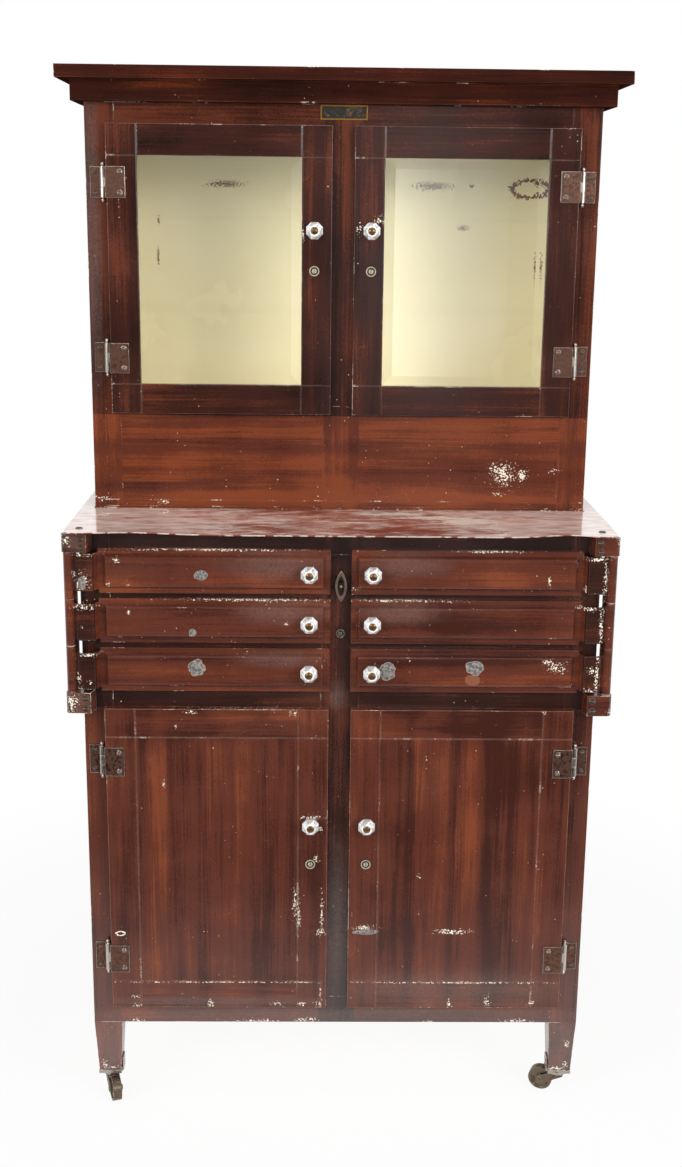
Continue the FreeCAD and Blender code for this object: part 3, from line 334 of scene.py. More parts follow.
def add(tree, kind, inputs, out=0, **settings):
    """Add a node, set or link its inputs and return one of its outputs."""
    node = tree.nodes.new(kind)
    for key, value in settings.items():
        setattr(node, key, value)
    for key, value in inputs.items():
        if isinstance(value, bpy.types.NodeSocket):
            tree.links.new(value, node.inputs[key])
        else:
            node.inputs[key].default_value = value
    return node.outputs[out] if node.outputs else node


def new_tree(name):
    """Start a material with an empty tree."""
    material = bpy.data.materials.new(name)
    material.use_nodes = True
    material.node_tree.nodes.clear()
    return material, material.node_tree


def dress(material, *names):
    """Give CAD nodes their finish."""
    for name in names:
        for slot in NODES[name].material_slots:
            slot.material = material


def millimetres(tree):
    """Place on the piece in millimetres, which follows the piece when it moves."""
    place = add(tree, COORDS, {}, "Object")
    return add(tree, VECTOR, {0: place, "Scale": 1 / MM}, operation="SCALE")


def folded(tree, place):
    """The same place with left and right folded together."""
    parts = add(tree, SPLIT, {0: place}).node.outputs
    away = add(tree, MATH, {0: parts["X"]}, operation="ABSOLUTE")
    return add(tree, JOIN, {0: away, 1: parts["Y"], 2: parts["Z"]})


def within(tree, place, way, low, high):
    """1 where a place lies between two limits along a direction."""
    along = add(tree, VECTOR, {0: place, 1: way}, "Value", operation="DOT_PRODUCT")
    return add(tree, MATH, {0: along, 1: (low + high) / 2, 2: (high - low) / 2}, operation="COMPARE")


def standing(tree, place, rails, panel=None):
    """1 where the grain stands: beside the rails' span of x and within the panel's span of z."""
    lying = within(tree, place, ACROSS, *rails)
    if panel:
        lying = add(tree, MATH, {0: lying, 1: within(tree, place, UPWARD, *panel)}, operation="GREATER_THAN")
    return add(tree, MATH, {0: 1.0, 1: lying}, operation="SUBTRACT")


def grain(tree, place, upright, streak, detail, seed):
    """Noise drawn out along the grain, in streaks with a length and a width."""
    along, across = (1 / size for size in streak)
    stretch = add(tree, MIX, {0: upright, 4: (along, across, across), 5: (across, across, along)}, 1,
                  data_type="VECTOR")
    drawn = add(tree, VECTOR, {0: place, 1: stretch}, operation="MULTIPLY")
    return add(tree, NOISE, {"Vector": drawn, "W": seed, "Scale": 1.0, "Detail": detail, "Distortion": 0.5},
               noise_dimensions="4D")


def nearness(tree, place, spots, flat=False, hollow=False):
    """Distance to the nearest of some oval spots: 0 at a centre and 1 on an outline.

    Each spot is x, z (y on a flat top), half width and half height in millimetres. Where the spots are
    hollow, the distance is counted from the outline, three times as fast.
    """
    field = 99.0
    for x, up, wide, high in spots:
        centre = (x, up, 0) if flat else (x, 0, up)
        share = (1 / wide, 1 / high, 0) if flat else (1 / wide, 0, 1 / high)
        away = add(tree, VECTOR, {0: place, 1: centre}, operation="SUBTRACT")
        shares = add(tree, VECTOR, {0: away, 1: share}, operation="MULTIPLY")
        reach = add(tree, VECTOR, {0: shares}, "Value", operation="LENGTH")
        if hollow:
            reach = add(tree, MATH, {0: reach, 1: 1.0}, operation="SUBTRACT")
            reach = add(tree, MATH, {0: reach}, operation="ABSOLUTE")
            reach = add(tree, MATH, {0: reach, 1: 3.0}, operation="MULTIPLY")
        field = add(tree, MATH, {0: field, 1: reach}, operation="MINIMUM")
    return field


def bands(tree, place, spots, seed):
    """Mask of soft feathered bands, as a graining brush leaves them; the same bands also lay painted shade
    and a painted sheen.
    """
    feather = add(tree, NOISE, {"Vector": place, "W": seed, "Scale": 1 / BRUSH_FEATHER, "Detail": 4.0},
                  noise_dimensions="4D")
    field = nearness(tree, place, spots)
    field = add(tree, MATH, {0: feather, 1: 0.7, 2: field}, operation="MULTIPLY_ADD")
    return add(tree, RANGE, {0: field, 1: 1.9, 2: 0.6}, interpolation_type="SMOOTHSTEP")


def flakes(tree, place, spots, kind, seed, flat=False, hollow=False):
    """Mask of spots where paint is gone or dirt sits in flakes, whole in the middle and thinning outwards."""
    size, whole, thin = kind
    lumps = add(tree, NOISE, {"Vector": place, "W": seed, "Scale": 1 / size, "Detail": 5.0},
                noise_dimensions="4D")
    field = nearness(tree, place, spots, flat, hollow)
    field = add(tree, MATH, {0: field, 1: -thin, 2: lumps}, operation="MULTIPLY_ADD")
    return add(tree, RANGE, {0: field, 1: 0.5 - whole, 2: 0.55 - whole}, interpolation_type="SMOOTHSTEP")


def edge_share(tree, rounded):
    """How near a spot lies to an edge, from its rounded normal: 0 on flats, 0.3 on a square edge."""
    flat = add(tree, GEOMETRY, {}, "Normal")
    facing = add(tree, VECTOR, {0: rounded, 1: flat}, "Value", operation="DOT_PRODUCT")
    return add(tree, MATH, {0: 1.0, 1: facing}, operation="SUBTRACT")


def coats(tree, ground, *layers):
    """Lay colours over a ground, each with its mask."""
    for colour, mask in layers:
        ground = add(tree, MIX, {0: mask, 6: ground, 7: colour}, 2, data_type="RGBA")
    return ground


def mahogany(tree, place, upright, mottle, tone, gloom, glow, deep, seed):
    """Colour of brushed mahogany graining, with its darker set of colours in the deep zones."""
    colours = bpy.context.scene.cabinet_colours
    broad = grain(tree, place, upright, BROAD_STREAK, 3.0, seed)
    fine = grain(tree, place, upright, FINE_STREAK, 4.0, seed + 3.0)
    grit = add(tree, NOISE, {"Vector": place, "W": seed + 6.0, "Scale": 1 / GRIT, "Detail": 2.0},
               noise_dimensions="4D")
    depth = tone - 0.24
    for layer, share in ((broad, 0.5), (fine, 0.32), (mottle, 0.45), (grit, 0.22)):
        depth = add(tree, MATH, {0: layer, 1: share, 2: depth}, operation="MULTIPLY_ADD")
    drift = add(tree, VECTOR, {0: fine, "Scale": STREAK_DRIFT}, operation="SCALE")
    wavy = add(tree, VECTOR, {0: place, 1: drift}, operation="ADD")
    # Gloom bands darken the grain and glow bands lighten it; some gloom bands are painted shade.
    for spots, lift in ((gloom, -0.1), (glow, 0.09)):
        if spots:
            band = bands(tree, wavy, spots, seed + 7.0)
            depth = add(tree, MATH, {0: band, 1: lift, 2: depth}, operation="MULTIPLY_ADD")
    dark = add(tree, RANGE, {0: depth, 1: 0.5, 2: 0.34}, interpolation_type="SMOOTHSTEP")
    light = add(tree, RANGE, {0: depth, 1: 0.5, 2: 0.68}, interpolation_type="SMOOTHSTEP")
    paint = coats(tree, colours.ground, (colours.dark, dark), (colours.light, light))
    if deep:
        half = folded(tree, place)
        deeper = coats(tree, colours.deep_ground, (colours.deep_dark, dark), (colours.deep_light, light))
        paint = coats(tree, paint, *[(deeper, within(tree, half, *zone)) for zone in deep])
    return paint


def dust(tree, place, patches, wear):
    """Mask of pale specks, thick in some patches."""
    cells = add(tree, CELLS, {"Vector": place, "Scale": 1 / DUST_SPACING})
    pick = add(tree, SPLIT, {0: cells.node.outputs["Color"]})
    pick = add(tree, MATH, {0: patches, 1: 1.2, 2: pick}, operation="MULTIPLY_ADD")
    reach = add(tree, RANGE, {0: pick, 1: 1.46 - 0.07 * wear, 2: 1.9, 4: 0.2})
    speck = add(tree, MATH, {0: cells, 1: reach}, operation="LESS_THAN")
    return add(tree, MATH, {0: speck, 1: 0.75}, operation="MULTIPLY")


def edge_wear(tree, patches, crumbs, rub_and_highlight, flaking):
    """Masks of the pale lines along edges, rubbed wear with a painted highlight, and of the flakes that are
    gone from them.
    """
    sharp = add(tree, BEVEL, {"Radius": EDGE_WEAR_RADIUS * MM}, samples=BEVEL_SAMPLES)
    edge = edge_share(tree, sharp)
    broken = add(tree, MATH, {0: crumbs, 1: 0.8, 2: -0.3}, operation="MULTIPLY_ADD")
    broken = add(tree, MATH, {0: patches, 1: 1.8, 2: broken}, operation="MULTIPLY_ADD")
    rubbed = add(tree, RANGE, {0: edge, 1: 0.02, 2: 0.12, 4: rub_and_highlight}, interpolation_type="SMOOTHSTEP")
    thin = add(tree, RANGE, {0: broken, 1: 0.75, 2: 1.2, 3: 0.35})
    rubbed = add(tree, MATH, {0: rubbed, 1: thin}, operation="MULTIPLY")
    limit = 1.2 - 0.06 * flaking
    flaked = add(tree, RANGE, {0: broken, 1: limit, 2: limit + 0.08}, interpolation_type="SMOOTHSTEP")
    brink = add(tree, RANGE, {0: edge, 1: 0.01, 2: 0.09}, interpolation_type="SMOOTHSTEP")
    return rubbed, add(tree, MATH, {0: flaked, 1: brink}, operation="MULTIPLY")


def bare_steel(tree, place, crumbs, spots, seed):
    """Layers of a deep chip: a tan rim of old primer round mottled grey steel."""
    lustre = add(tree, RANGE, {0: crumbs, 1: 0.42, 2: 0.62})
    metal = coats(tree, linear("#54575A"), (bpy.context.scene.cabinet_colours.bare, lustre))
    return [(linear("#A8998A"), flakes(tree, place, spots, BARE_RIM, seed)),
            (metal, flakes(tree, place, spots, BARE_METAL, seed))]


def cream_lining(tree, place, mottle, stains, rings, seed):
    """Colour of the cream inside of a sheet, with rust marks on it."""
    colours = bpy.context.scene.cabinet_colours
    lining = coats(tree, colours.cream, (linear("#DECFA4"), mottle))
    if stains:
        lining = coats(tree, lining, (colours.rust, flakes(tree, place, stains, STAIN, seed)))
    if rings:
        rusty = flakes(tree, place, rings, RUST_RING, seed + 2.0, hollow=True)
        lining = coats(tree, lining, (colours.rust, rusty))
    return lining


def grained_enamel(name, upright=0.0, rails=None, panel=None, inside=(), deep=(), tone=0.0, wear=1.0,
                   flaking=1.0, rub_and_highlight=0.6, gloss=0.2, gloom=(), glow=(), dust_and_sheen=(), chips=(), bare=(),
                   touched=(), hoops=(), stains=(), rings=(), line="#9C7565", soft=2.0, veil=0.5, seed=1.0):
    """Steel sheet enamelled to look like mahogany.

    The eye gets feathered streaks drawn by hand along each rail and stile, pale dust, a soft gloss over
    pressed edges, tan lines along edges that are rubbed wear with a painted highlight, and cream chips; the
    inside of the sheet is plain cream, with rust.

    Marks are lists of oval spots. Gloom and glow shift the grain's tone, and some gloom bands are painted
    shade.
    Dust and sheen bands lie on it as grey haze: dust in places, and a painted sheen elsewhere.
    Chips and hoops show the primer, bare spots the steel and touched ones a brown retouch. Stains and rings
    are rust on the inside. Line is the colour of the edge lines, rubbed wear with a painted highlight, soft
    the radius of pressed edges in millimetres, and veil the strength of what the enamel mirrors.
    """
    colours = bpy.context.scene.cabinet_colours
    material, tree = new_tree(name)
    place = millimetres(tree)
    half = folded(tree, place)
    if rails:
        upright = standing(tree, half, rails, panel)
    mottle = add(tree, NOISE, {"Vector": place, "W": seed + 5.0, "Scale": 1 / MOTTLE, "Detail": 6.0},
                 noise_dimensions="4D")
    patches = add(tree, NOISE, {"Vector": place, "W": seed + 9.0, "Scale": 1 / WEAR_PATCH, "Detail": 3.0},
                  noise_dimensions="4D")
    crumbs = add(tree, NOISE, {"Vector": place, "W": seed + 10.0, "Scale": 1 / CRUMB, "Detail": 4.0},
                 noise_dimensions="4D")
    paint = mahogany(tree, place, upright, mottle, tone, gloom, glow, deep, seed)
    rubbed, flaked = edge_wear(tree, patches, crumbs, rub_and_highlight, flaking)

    layers = []
    # Grey haze: dust in places, and a painted sheen elsewhere.
    if dust_and_sheen:
        dust_and_sheen_mask = add(tree, MATH, {0: bands(tree, place, dust_and_sheen, seed + 12.0), 1: crumbs}, operation="MULTIPLY")
        dust_and_sheen_mask = add(tree, MATH, {0: dust_and_sheen_mask, 1: 0.32}, operation="MULTIPLY")
        layers.append((linear("#8A7A74"), dust_and_sheen_mask))
    layers.append((colours.primer, dust(tree, place, patches, wear)))
    # Pale edge lines: rubbed wear with a painted highlight.
    layers.append((linear(line), rubbed))
    layers.append((colours.primer, flaked))
    if chips:
        layers.append((colours.primer, flakes(tree, place, chips, CHIP, seed + 11.0)))
    if hoops:
        layers.append((colours.primer, flakes(tree, place, hoops, HOOP, seed + 18.0, hollow=True)))
    if bare:
        layers += bare_steel(tree, place, crumbs, bare, seed + 13.0)
    if touched:
        layers.append((linear("#7C4C36"), flakes(tree, place, touched, TOUCHED_UP, seed + 17.0)))
    if inside:
        hidden = 1.0
        for zone in inside:
            hidden = add(tree, MATH, {0: hidden, 1: within(tree, half, *zone)}, operation="MULTIPLY")
        layers.append((cream_lining(tree, place, mottle, stains, rings, seed + 14.0), hidden))
    colour = coats(tree, paint, *layers)

    peel = add(tree, NOISE, {"Vector": place, "W": seed + 15.0, "Scale": 1 / ORANGE_PEEL, "Detail": 3.0},
               noise_dimensions="4D")
    height = add(tree, MATH, {0: flaked, 1: -1.5, 2: peel}, operation="MULTIPLY_ADD")
    rounded = add(tree, BEVEL, {"Radius": soft * MM}, samples=BEVEL_SAMPLES)
    normal = add(tree, BUMP, {"Strength": 0.12, "Distance": 0.4 * MM, "Height": height, "Normal": rounded})
    roughness = add(tree, RANGE, {0: mottle, 1: 0.3, 2: 0.7, 3: gloss - 0.04, 4: gloss + 0.1})
    roughness = add(tree, MATH, {0: flaked, 1: 0.3, 2: roughness}, operation="MULTIPLY_ADD")
    shader = add(tree, PRINCIPLED, {"Base Color": colour, "Roughness": roughness, "IOR": ENAMEL_IOR,
                                    "Normal": normal, "Specular IOR Level": veil})
    add(tree, OUTPUT, {"Surface": shader})
    return material


def counter_enamel():
    """Red-brown enamel worn by use: glossy red in a dull pinkish bloom, a pale smear and a chipped edge."""
    colours = bpy.context.scene.cabinet_colours
    material, tree = new_tree("worn_counter_enamel")
    place = millimetres(tree)
    streaked = 0.3
    streaky = add(tree, VECTOR, {0: place, 1: (streaked, 1.0, 1.0)}, operation="MULTIPLY")
    clouds = add(tree, NOISE, {"Vector": streaky, "W": 3.0, "Scale": 1 / COUNTER_CLOUD, "Detail": 8.0},
                 noise_dimensions="4D")
    fine = add(tree, NOISE, {"Vector": streaky, "W": 5.0, "Scale": 1 / COUNTER_WISP, "Detail": 6.0},
               noise_dimensions="4D")
    dull = add(tree, MATH, {0: fine, 1: 0.6, 2: clouds}, operation="MULTIPLY_ADD")
    ends = add(tree, SPLIT, {0: folded(tree, place)}, "X")
    ends = add(tree, RANGE, {0: ends, 1: COUNTER_ENDS[0], 2: COUNTER_ENDS[1], 4: 0.32})
    dull = add(tree, MATH, {0: dull, 1: ends}, operation="ADD")
    dull = add(tree, RANGE, {0: dull, 1: 0.67, 2: 1.02}, interpolation_type="SMOOTHSTEP")
    level = within(tree, add(tree, GEOMETRY, {}, "Normal"), UPWARD, 0.5, 2.0)
    dull = add(tree, MATH, {0: dull, 1: level}, operation="MULTIPLY")
    wisps = add(tree, RANGE, {0: fine, 1: 0.28, 2: 0.62, 4: 0.9})
    bloom = coats(tree, linear("#BE8272"), (colours.haze, wisps))
    smears = [(x * streaked, y, wide * streaked, high) for x, y, wide, high in COUNTER_SMEARS]
    smear = flakes(tree, streaky, smears, SMEAR, 7.0, flat=True)

    sharp = add(tree, BEVEL, {"Radius": COUNTER_EDGE_RADIUS * MM}, samples=BEVEL_SAMPLES)
    crumbs = add(tree, NOISE, {"Vector": place, "W": 11.0, "Scale": 1 / COUNTER_CRUMB, "Detail": 5.0},
                 noise_dimensions="4D")
    flaked = add(tree, RANGE, {0: crumbs, 1: 0.45, 2: 0.49})
    brink = add(tree, RANGE, {0: edge_share(tree, sharp), 1: 0.005, 2: 0.04})
    flaked = add(tree, MATH, {0: flaked, 1: brink}, operation="MULTIPLY")
    pale = linear("#FFF6E6")
    colour = coats(tree, colours.counter, (bloom, dull), (pale, smear), (pale, flaked))

    dent = add(tree, NOISE, {"Vector": place, "W": 9.0, "Scale": 1 / COUNTER_DENT, "Detail": 3.0},
               noise_dimensions="4D")
    normal = add(tree, BUMP, {"Strength": 0.05, "Distance": 0.5 * MM, "Height": dent})
    roughness = add(tree, RANGE, {0: dull, 3: 0.1, 4: 0.3})
    shader = add(tree, PRINCIPLED, {"Base Color": colour, "Roughness": roughness, "IOR": ENAMEL_IOR,
                                    "Normal": normal, "Coat Weight": 1.0, "Coat Roughness": 0.04,
                                    "Coat IOR": 1.75})
    add(tree, OUTPUT, {"Surface": shader})
    return material


def cream_enamel():
    """Stoved cream enamel inside the case: plain, faintly mottled, with rust at the edges."""
    colours = bpy.context.scene.cabinet_colours
    material, tree = new_tree("stoved_cream_enamel")
    place = millimetres(tree)
    rounded = add(tree, BEVEL, {"Radius": CREAM_EDGE_RADIUS * MM}, samples=BEVEL_SAMPLES)
    stain = add(tree, NOISE, {"Vector": place, "W": 2.0, "Scale": 1 / CREAM_STAIN, "Detail": 3.0},
                noise_dimensions="4D")
    stain = add(tree, RANGE, {0: stain, 1: 0.45, 2: 0.8, 4: 0.35})
    rubbed = add(tree, RANGE, {0: edge_share(tree, rounded), 1: 0.05, 2: 0.3, 4: 0.5})
    colour = coats(tree, colours.cream, (linear("#CDBB8C"), stain), (colours.rust, rubbed))
    shader = add(tree, PRINCIPLED, {"Base Color": colour, "Roughness": 0.42, "IOR": ENAMEL_IOR,
                                    "Normal": rounded})
    add(tree, OUTPUT, {"Surface": shader})
    return material


def plate_glass():
    """Polished plate glass: sharp reflections and a clear view through; lamps shine through it."""
    material, tree = new_tree("plate_glass")
    body = linear("#F4F6F2")
    glass = add(tree, PRINCIPLED, {"Base Color": body, "Roughness": 0.0, "IOR": GLASS_IOR,
                                   "Transmission Weight": 1.0})
    clear = add(tree, CLEAR, {"Color": body})
    shadow = add(tree, LIGHT_PATH, {}, "Is Shadow Ray")
    add(tree, OUTPUT, {"Surface": add(tree, MIX_SHADER, {0: shadow, 1: glass, 2: clear})})
    return material


def shelf_glass():
    """Thin clear shelf glass, seen only by a faint gloss and its pale edges."""
    material, tree = new_tree("clear_shelf_glass")
    gloss = add(tree, PRINCIPLED, {"Base Color": linear("#DCE6DA"), "Roughness": 0.05, "IOR": GLASS_IOR,
                                   "Transmission Weight": 1.0})
    clear = add(tree, CLEAR, {"Color": linear("#FFFFFF")})
    add(tree, OUTPUT, {"Surface": add(tree, MIX_SHADER, {0: 0.985, 1: gloss, 2: clear})})
    return material


def cut_glass():
    """Cut glass painted as bright as it looks in front of a wall of light: white facets with grey ones
    between, as painted light and reflection.
    """
    material, tree = new_tree("cut_glass")
    facing = add(tree, GEOMETRY, {}, "True Normal")
    facets = add(tree, NOISE, {"Vector": facing, "W": 1.0, "Scale": 1 / FACET_TURN, "Detail": 0.0},
                 noise_dimensions="4D")
    facets = add(tree, RANGE, {0: facets, 1: 0.46, 2: 0.62, 4: 0.8})
    painted_glints = add(tree, NOISE, {"Vector": millimetres(tree), "W": 3.0, "Scale": 1 / PAINTED_GLINT_SIZE,
                               "Detail": 3.0}, noise_dimensions="4D")
    painted_glints = add(tree, RANGE, {0: painted_glints, 1: 0.5, 2: 0.66, 4: 0.7})
    # White and grey facet tones, set by which way each facet faces, and the dark glints are painted light and
    # reflection.
    colour = coats(tree, linear("#FFFFFF"), (linear("#A8A29A"), facets), (linear("#7A736B"), painted_glints))
    shader = add(tree, PRINCIPLED, {"Base Color": colour, "Roughness": 0.06, "IOR": CUT_GLASS_IOR,
                                    "Transmission Weight": 0.15})
    add(tree, OUTPUT, {"Surface": shader})
    return material


def worn_metal(name, ground, tarnish, polish, spread, roughness, lump, knuckle=None):
    """Old fittings: tarnish or rust in patches, and edges and hinge knuckles polished bright by handling."""
    material, tree = new_tree(name)
    place = millimetres(tree)
    rounded = add(tree, BEVEL, {"Radius": METAL_EDGE_RADIUS * MM}, samples=BEVEL_SAMPLES)
    edge = edge_share(tree, rounded)
    patches = add(tree, NOISE, {"Vector": place, "W": 6.0, "Scale": 1 / lump, "Detail": 5.0},
                  noise_dimensions="4D")
    pits = add(tree, NOISE, {"Vector": place, "W": 8.0, "Scale": 1 / METAL_PIT, "Detail": 3.0},
               noise_dimensions="4D")
    patches = add(tree, MATH, {0: pits, 1: 0.3, 2: patches}, operation="MULTIPLY_ADD")
    stained = add(tree, RANGE, {0: patches, 1: spread, 2: spread + 0.16}, interpolation_type="SMOOTHSTEP")
    bright = add(tree, RANGE, {0: edge, 1: 0.02, 2: 0.12}, interpolation_type="SMOOTHSTEP")
    if knuckle:
        pin = within(tree, folded(tree, place), ACROSS, *knuckle)
        pin = add(tree, MATH, {0: pin, 1: 0.8}, operation="MULTIPLY")
        bright = add(tree, MATH, {0: bright, 1: pin}, operation="MAXIMUM")
        stained = add(tree, MATH, {0: stained, 1: bright}, operation="SUBTRACT", use_clamp=True)
    colour = coats(tree, ground, (tarnish, stained), (polish, bright))
    metallic = add(tree, RANGE, {0: stained, 3: 1.0, 4: 0.35})
    gloss = add(tree, RANGE, {0: stained, 3: roughness, 4: roughness + 0.3})
    normal = add(tree, BUMP, {"Strength": 0.15, "Distance": 0.3 * MM, "Height": patches, "Normal": rounded})
    shader = add(tree, PRINCIPLED, {"Base Color": colour, "Metallic": metallic, "Roughness": gloss,
                                    "Normal": normal})
    add(tree, OUTPUT, {"Surface": shader})
    return material


def turn_button_finish():
    """Pewter casting: a rim rubbed bright round a hollow painted near black as shade, with a brass pin in it.
    """
    colours = bpy.context.scene.cabinet_colours
    low, high = (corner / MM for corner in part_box("turn_button"))
    middle = (low + high) / 2
    reach = (high - low) / 2
    material, tree = new_tree("rubbed_pewter")
    place = millimetres(tree)
    hollow = nearness(tree, place, ((middle.x, middle.z, reach.x, reach.z), ))
    rim = add(tree, RANGE, {0: hollow, 1: 0.58, 2: 0.68}, interpolation_type="SMOOTHSTEP")
    pin = nearness(tree, place, ((middle.x, middle.z, PIN_RADIUS, PIN_RADIUS), ))
    pin = add(tree, RANGE, {0: pin, 1: 1.1, 2: 0.8})
    worn = add(tree, NOISE, {"Vector": place, "W": 4.0, "Scale": 1 / PLATE_WEAR, "Detail": 4.0},
               noise_dimensions="4D")
    pewter = coats(tree, linear("#C2B4A2"), (linear("#6E5D4D"), worn))
    # The hollow's near black is painted shade.
    colour = coats(tree, linear("#1E1613"), (pewter, rim), (colours.brass, pin))
    metallic = add(tree, RANGE, {0: rim, 3: 0.3, 4: 0.9})
    rounded = add(tree, BEVEL, {"Radius": BUTTON_EDGE_RADIUS * MM}, samples=BEVEL_SAMPLES)
    shader = add(tree, PRINCIPLED, {"Base Color": colour, "Metallic": metallic, "Roughness": 0.34,
                                    "Normal": rounded})
    add(tree, OUTPUT, {"Surface": shader})
    return material


def plate_finish():
    """Black enamel plate with a brass border, its field left bare."""
    colours = bpy.context.scene.cabinet_colours
    low, high = (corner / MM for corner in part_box("nameplate"))
    material, tree = new_tree("enamelled_brass_plate")
    place = millimetres(tree)
    wide = within(tree, place, ACROSS, low.x + PLATE_BORDER, high.x - PLATE_BORDER)
    tall = within(tree, place, UPWARD, low.z + PLATE_BORDER, high.z - PLATE_BORDER)
    field = add(tree, MATH, {0: wide, 1: tall}, operation="MULTIPLY")
    worn = add(tree, NOISE, {"Vector": place, "W": 3.0, "Scale": 1 / PLATE_WEAR, "Detail": 3.0},
               noise_dimensions="4D")
    worn = add(tree, RANGE, {0: worn, 1: 0.5, 2: 0.8, 4: 0.4})
    black = coats(tree, colours.black, (colours.brass, worn))
    colour = coats(tree, colours.brass, (black, field))
    metallic = add(tree, RANGE, {0: field, 3: 1.0, 4: 0.0})
    shader = add(tree, PRINCIPLED, {"Base Color": colour, "Metallic": metallic, "Roughness": 0.35})
    add(tree, OUTPUT, {"Surface": shader})
    return material


def new_piece(name, mesh_maker, body, slot, *materials):
    """Make a mesh object from a bmesh, with its finishes, riding on a body."""
    mesh = bpy.data.meshes.new(name)
    shape = bmesh.new()
    mesh_maker(shape)
    bmesh.ops.recalc_face_normals(shape, faces=shape.faces)
    shape.to_mesh(mesh)
    shape.free()
    piece = bpy.data.objects.new(name, mesh)
    bpy.context.collection.objects.link(piece)
    for material in materials:
        mesh.materials.append(material)
    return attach(piece, body)


def turned(shape, centre, rings, sides, finish=0, smooth=False):
    """Closed solid round a front-to-back axis from rings of y, radius and turn.

    Rings with the same turn are joined by flat bands, the others by triangles.
    """
    loops = []
    for y, radius, turn in rings:
        angles = [2 * math.pi * (step + turn) / sides for step in range(sides)]
        loops.append([shape.verts.new((centre.x + radius * math.cos(a), y, centre.z + radius * math.sin(a)))
                      for a in angles])
    faces = [shape.faces.new(loops[0]), shape.faces.new(loops[-1])]
    for index in range(len(rings) - 1):
        first, second = loops[index:index + 2]
        banded = rings[index][2] == rings[index + 1][2]
        for step in range(sides):
            after = (step + 1) % sides
            if banded:
                faces.append(shape.faces.new((first[step], first[after], second[after], second[step])))
            else:
                faces.append(shape.faces.new((first[step], first[after], second[step])))
                faces.append(shape.faces.new((first[after], second[after], second[step])))
    for face in faces:
        face.material_index = finish
        face.smooth = smooth


def cut_glass_knob(shape, node):
    """Octagonal knob with a crown of facets, on a collar, with a brass screw through it."""
    sizes = bpy.context.scene.cabinet_sizes
    low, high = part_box(node)
    centre = (low + high) / 2
    sides = sizes.knob_facets
    radius = (high.x - low.x) / 2 / math.cos(math.pi / sides)
    seat = high.y - sizes.knob_screw_end
    back = seat - sizes.knob_collar
    front = low.y + sizes.knob_head
    waist = (back + front) / 2 + sizes.knob_band / 2
    neck = radius * 0.62
    glass = ((back, neck, 0.5), (waist, radius, 0.5), (waist - sizes.knob_band, radius, 0.5),
             (front + 0.5 * MM, radius * 0.66, 1.0), (front, radius * 0.6, 1.0))
    turned(shape, centre, glass, sides, 0)
    collar = ((seat, neck * 1.02, 0), (seat - 0.8 * MM, neck * 1.02, 0), (back, neck * 0.8, 0))
    turned(shape, centre, collar, 32, 1, True)
    head = 0.34 * radius
    shank = head * 0.5
    screw = ((back - 0.2 * MM, shank, 0), (front + 0.4 * MM, shank, 0), (front - 0.1 * MM, head * 1.3, 0),
             (front - 0.9 * MM, head * 1.1, 0), (low.y, shank, 0))
    turned(shape, centre, screw, 24, 1, True)


def lock_face(shape, centre, face, radius):
    """Raised ring with a rounded lip round a lock face, and a key plug split by its slot."""
    sizes = bpy.context.scene.cabinet_sizes
    steps = 40
    inner = radius - sizes.rim_width
    lip = sizes.rim_height
    root = face + 0.2 * MM
    profile = ((radius, root), (radius - 0.2 * MM, face - lip * 0.7), (radius - 0.7 * MM, face - lip),
               (inner + 0.6 * MM, face - lip * 0.9), (inner, face - lip * 0.3), (inner, root))
    loops = []
    for step in range(steps):
        turn = 2 * math.pi * step / steps
        loops.append([shape.verts.new((centre.x + r * math.cos(turn), y, centre.z + r * math.sin(turn)))
                      for r, y in profile])
    for step in range(steps):
        here, there = loops[step], loops[(step + 1) % steps]
        for spot in range(len(profile)):
            after = (spot + 1) % len(profile)
            shape.faces.new((here[spot], there[spot], there[after], here[after])).smooth = True

    plug = radius * sizes.plug_share
    gap = math.asin(sizes.key_slot / 2 / plug)
    arc = 16
    for side in (0, math.pi):
        turns = [side - math.pi / 2 + gap + (math.pi - 2 * gap) * step / arc for step in range(arc + 1)]
        rings = []
        for y, reach in ((root, plug), (face - lip * 0.8, plug * 0.92)):
            ring = [shape.verts.new((centre.x + reach * math.cos(t), y, centre.z + reach * math.sin(t)))
                    for t in turns]
            shape.faces.new(ring)
            rings.append(ring)
        under, over = rings
        for step in range(arc + 1):
            after = (step + 1) % (arc + 1)
            shape.faces.new((under[step], under[after], over[after], over[step]))


def counter_sheet(shape):
    """Thin counter sheet with rounded front corners, its front edge bent a little out of true."""
    sizes = bpy.context.scene.cabinet_sizes
    low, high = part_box("counter_top")
    corner = sizes.counter_corner
    across = [2 * step / COUNTER_STEPS - 1 for step in range(COUNTER_STEPS + 1)]
    tops, bottoms = [], []
    for away in (*[row * MM for row in COUNTER_ROWS], high.y - low.y):
        reach = max(corner - away, 0)
        half = high.x - corner + math.sqrt(corner * corner - reach * reach)
        lift = max(1 - away / sizes.counter_bend, 0) ** 1.5
        swell = min(away / sizes.counter_bend, 1)
        thick = sizes.counter_edge + (high.z - low.z - sizes.counter_edge) * swell
        top, bottom = [], []
        for share in across:
            x = share * half
            rise = sum(peak * math.exp(-((x / MM - at) / spread) ** 2) for at, spread, peak in COUNTER_BENDS)
            z = high.z + rise * lift * MM
            top.append(shape.verts.new((x, low.y + away, z)))
            bottom.append(shape.verts.new((x, low.y + away, z - thick)))
        tops.append(top)
        bottoms.append(bottom)
    for rows in (tops, bottoms):
        for near, far in zip(rows, rows[1:]):
            for step in range(COUNTER_STEPS):
                shape.faces.new((near[step], near[step + 1], far[step + 1], far[step]))
    rims = [(tops[0], bottoms[0]), (tops[-1], bottoms[-1])]
    rims += [([row[end] for row in tops], [row[end] for row in bottoms]) for end in (0, -1)]
    for over, under in rims:
        for step in range(len(over) - 1):
            shape.faces.new((over[step], over[step + 1], under[step + 1], under[step]))


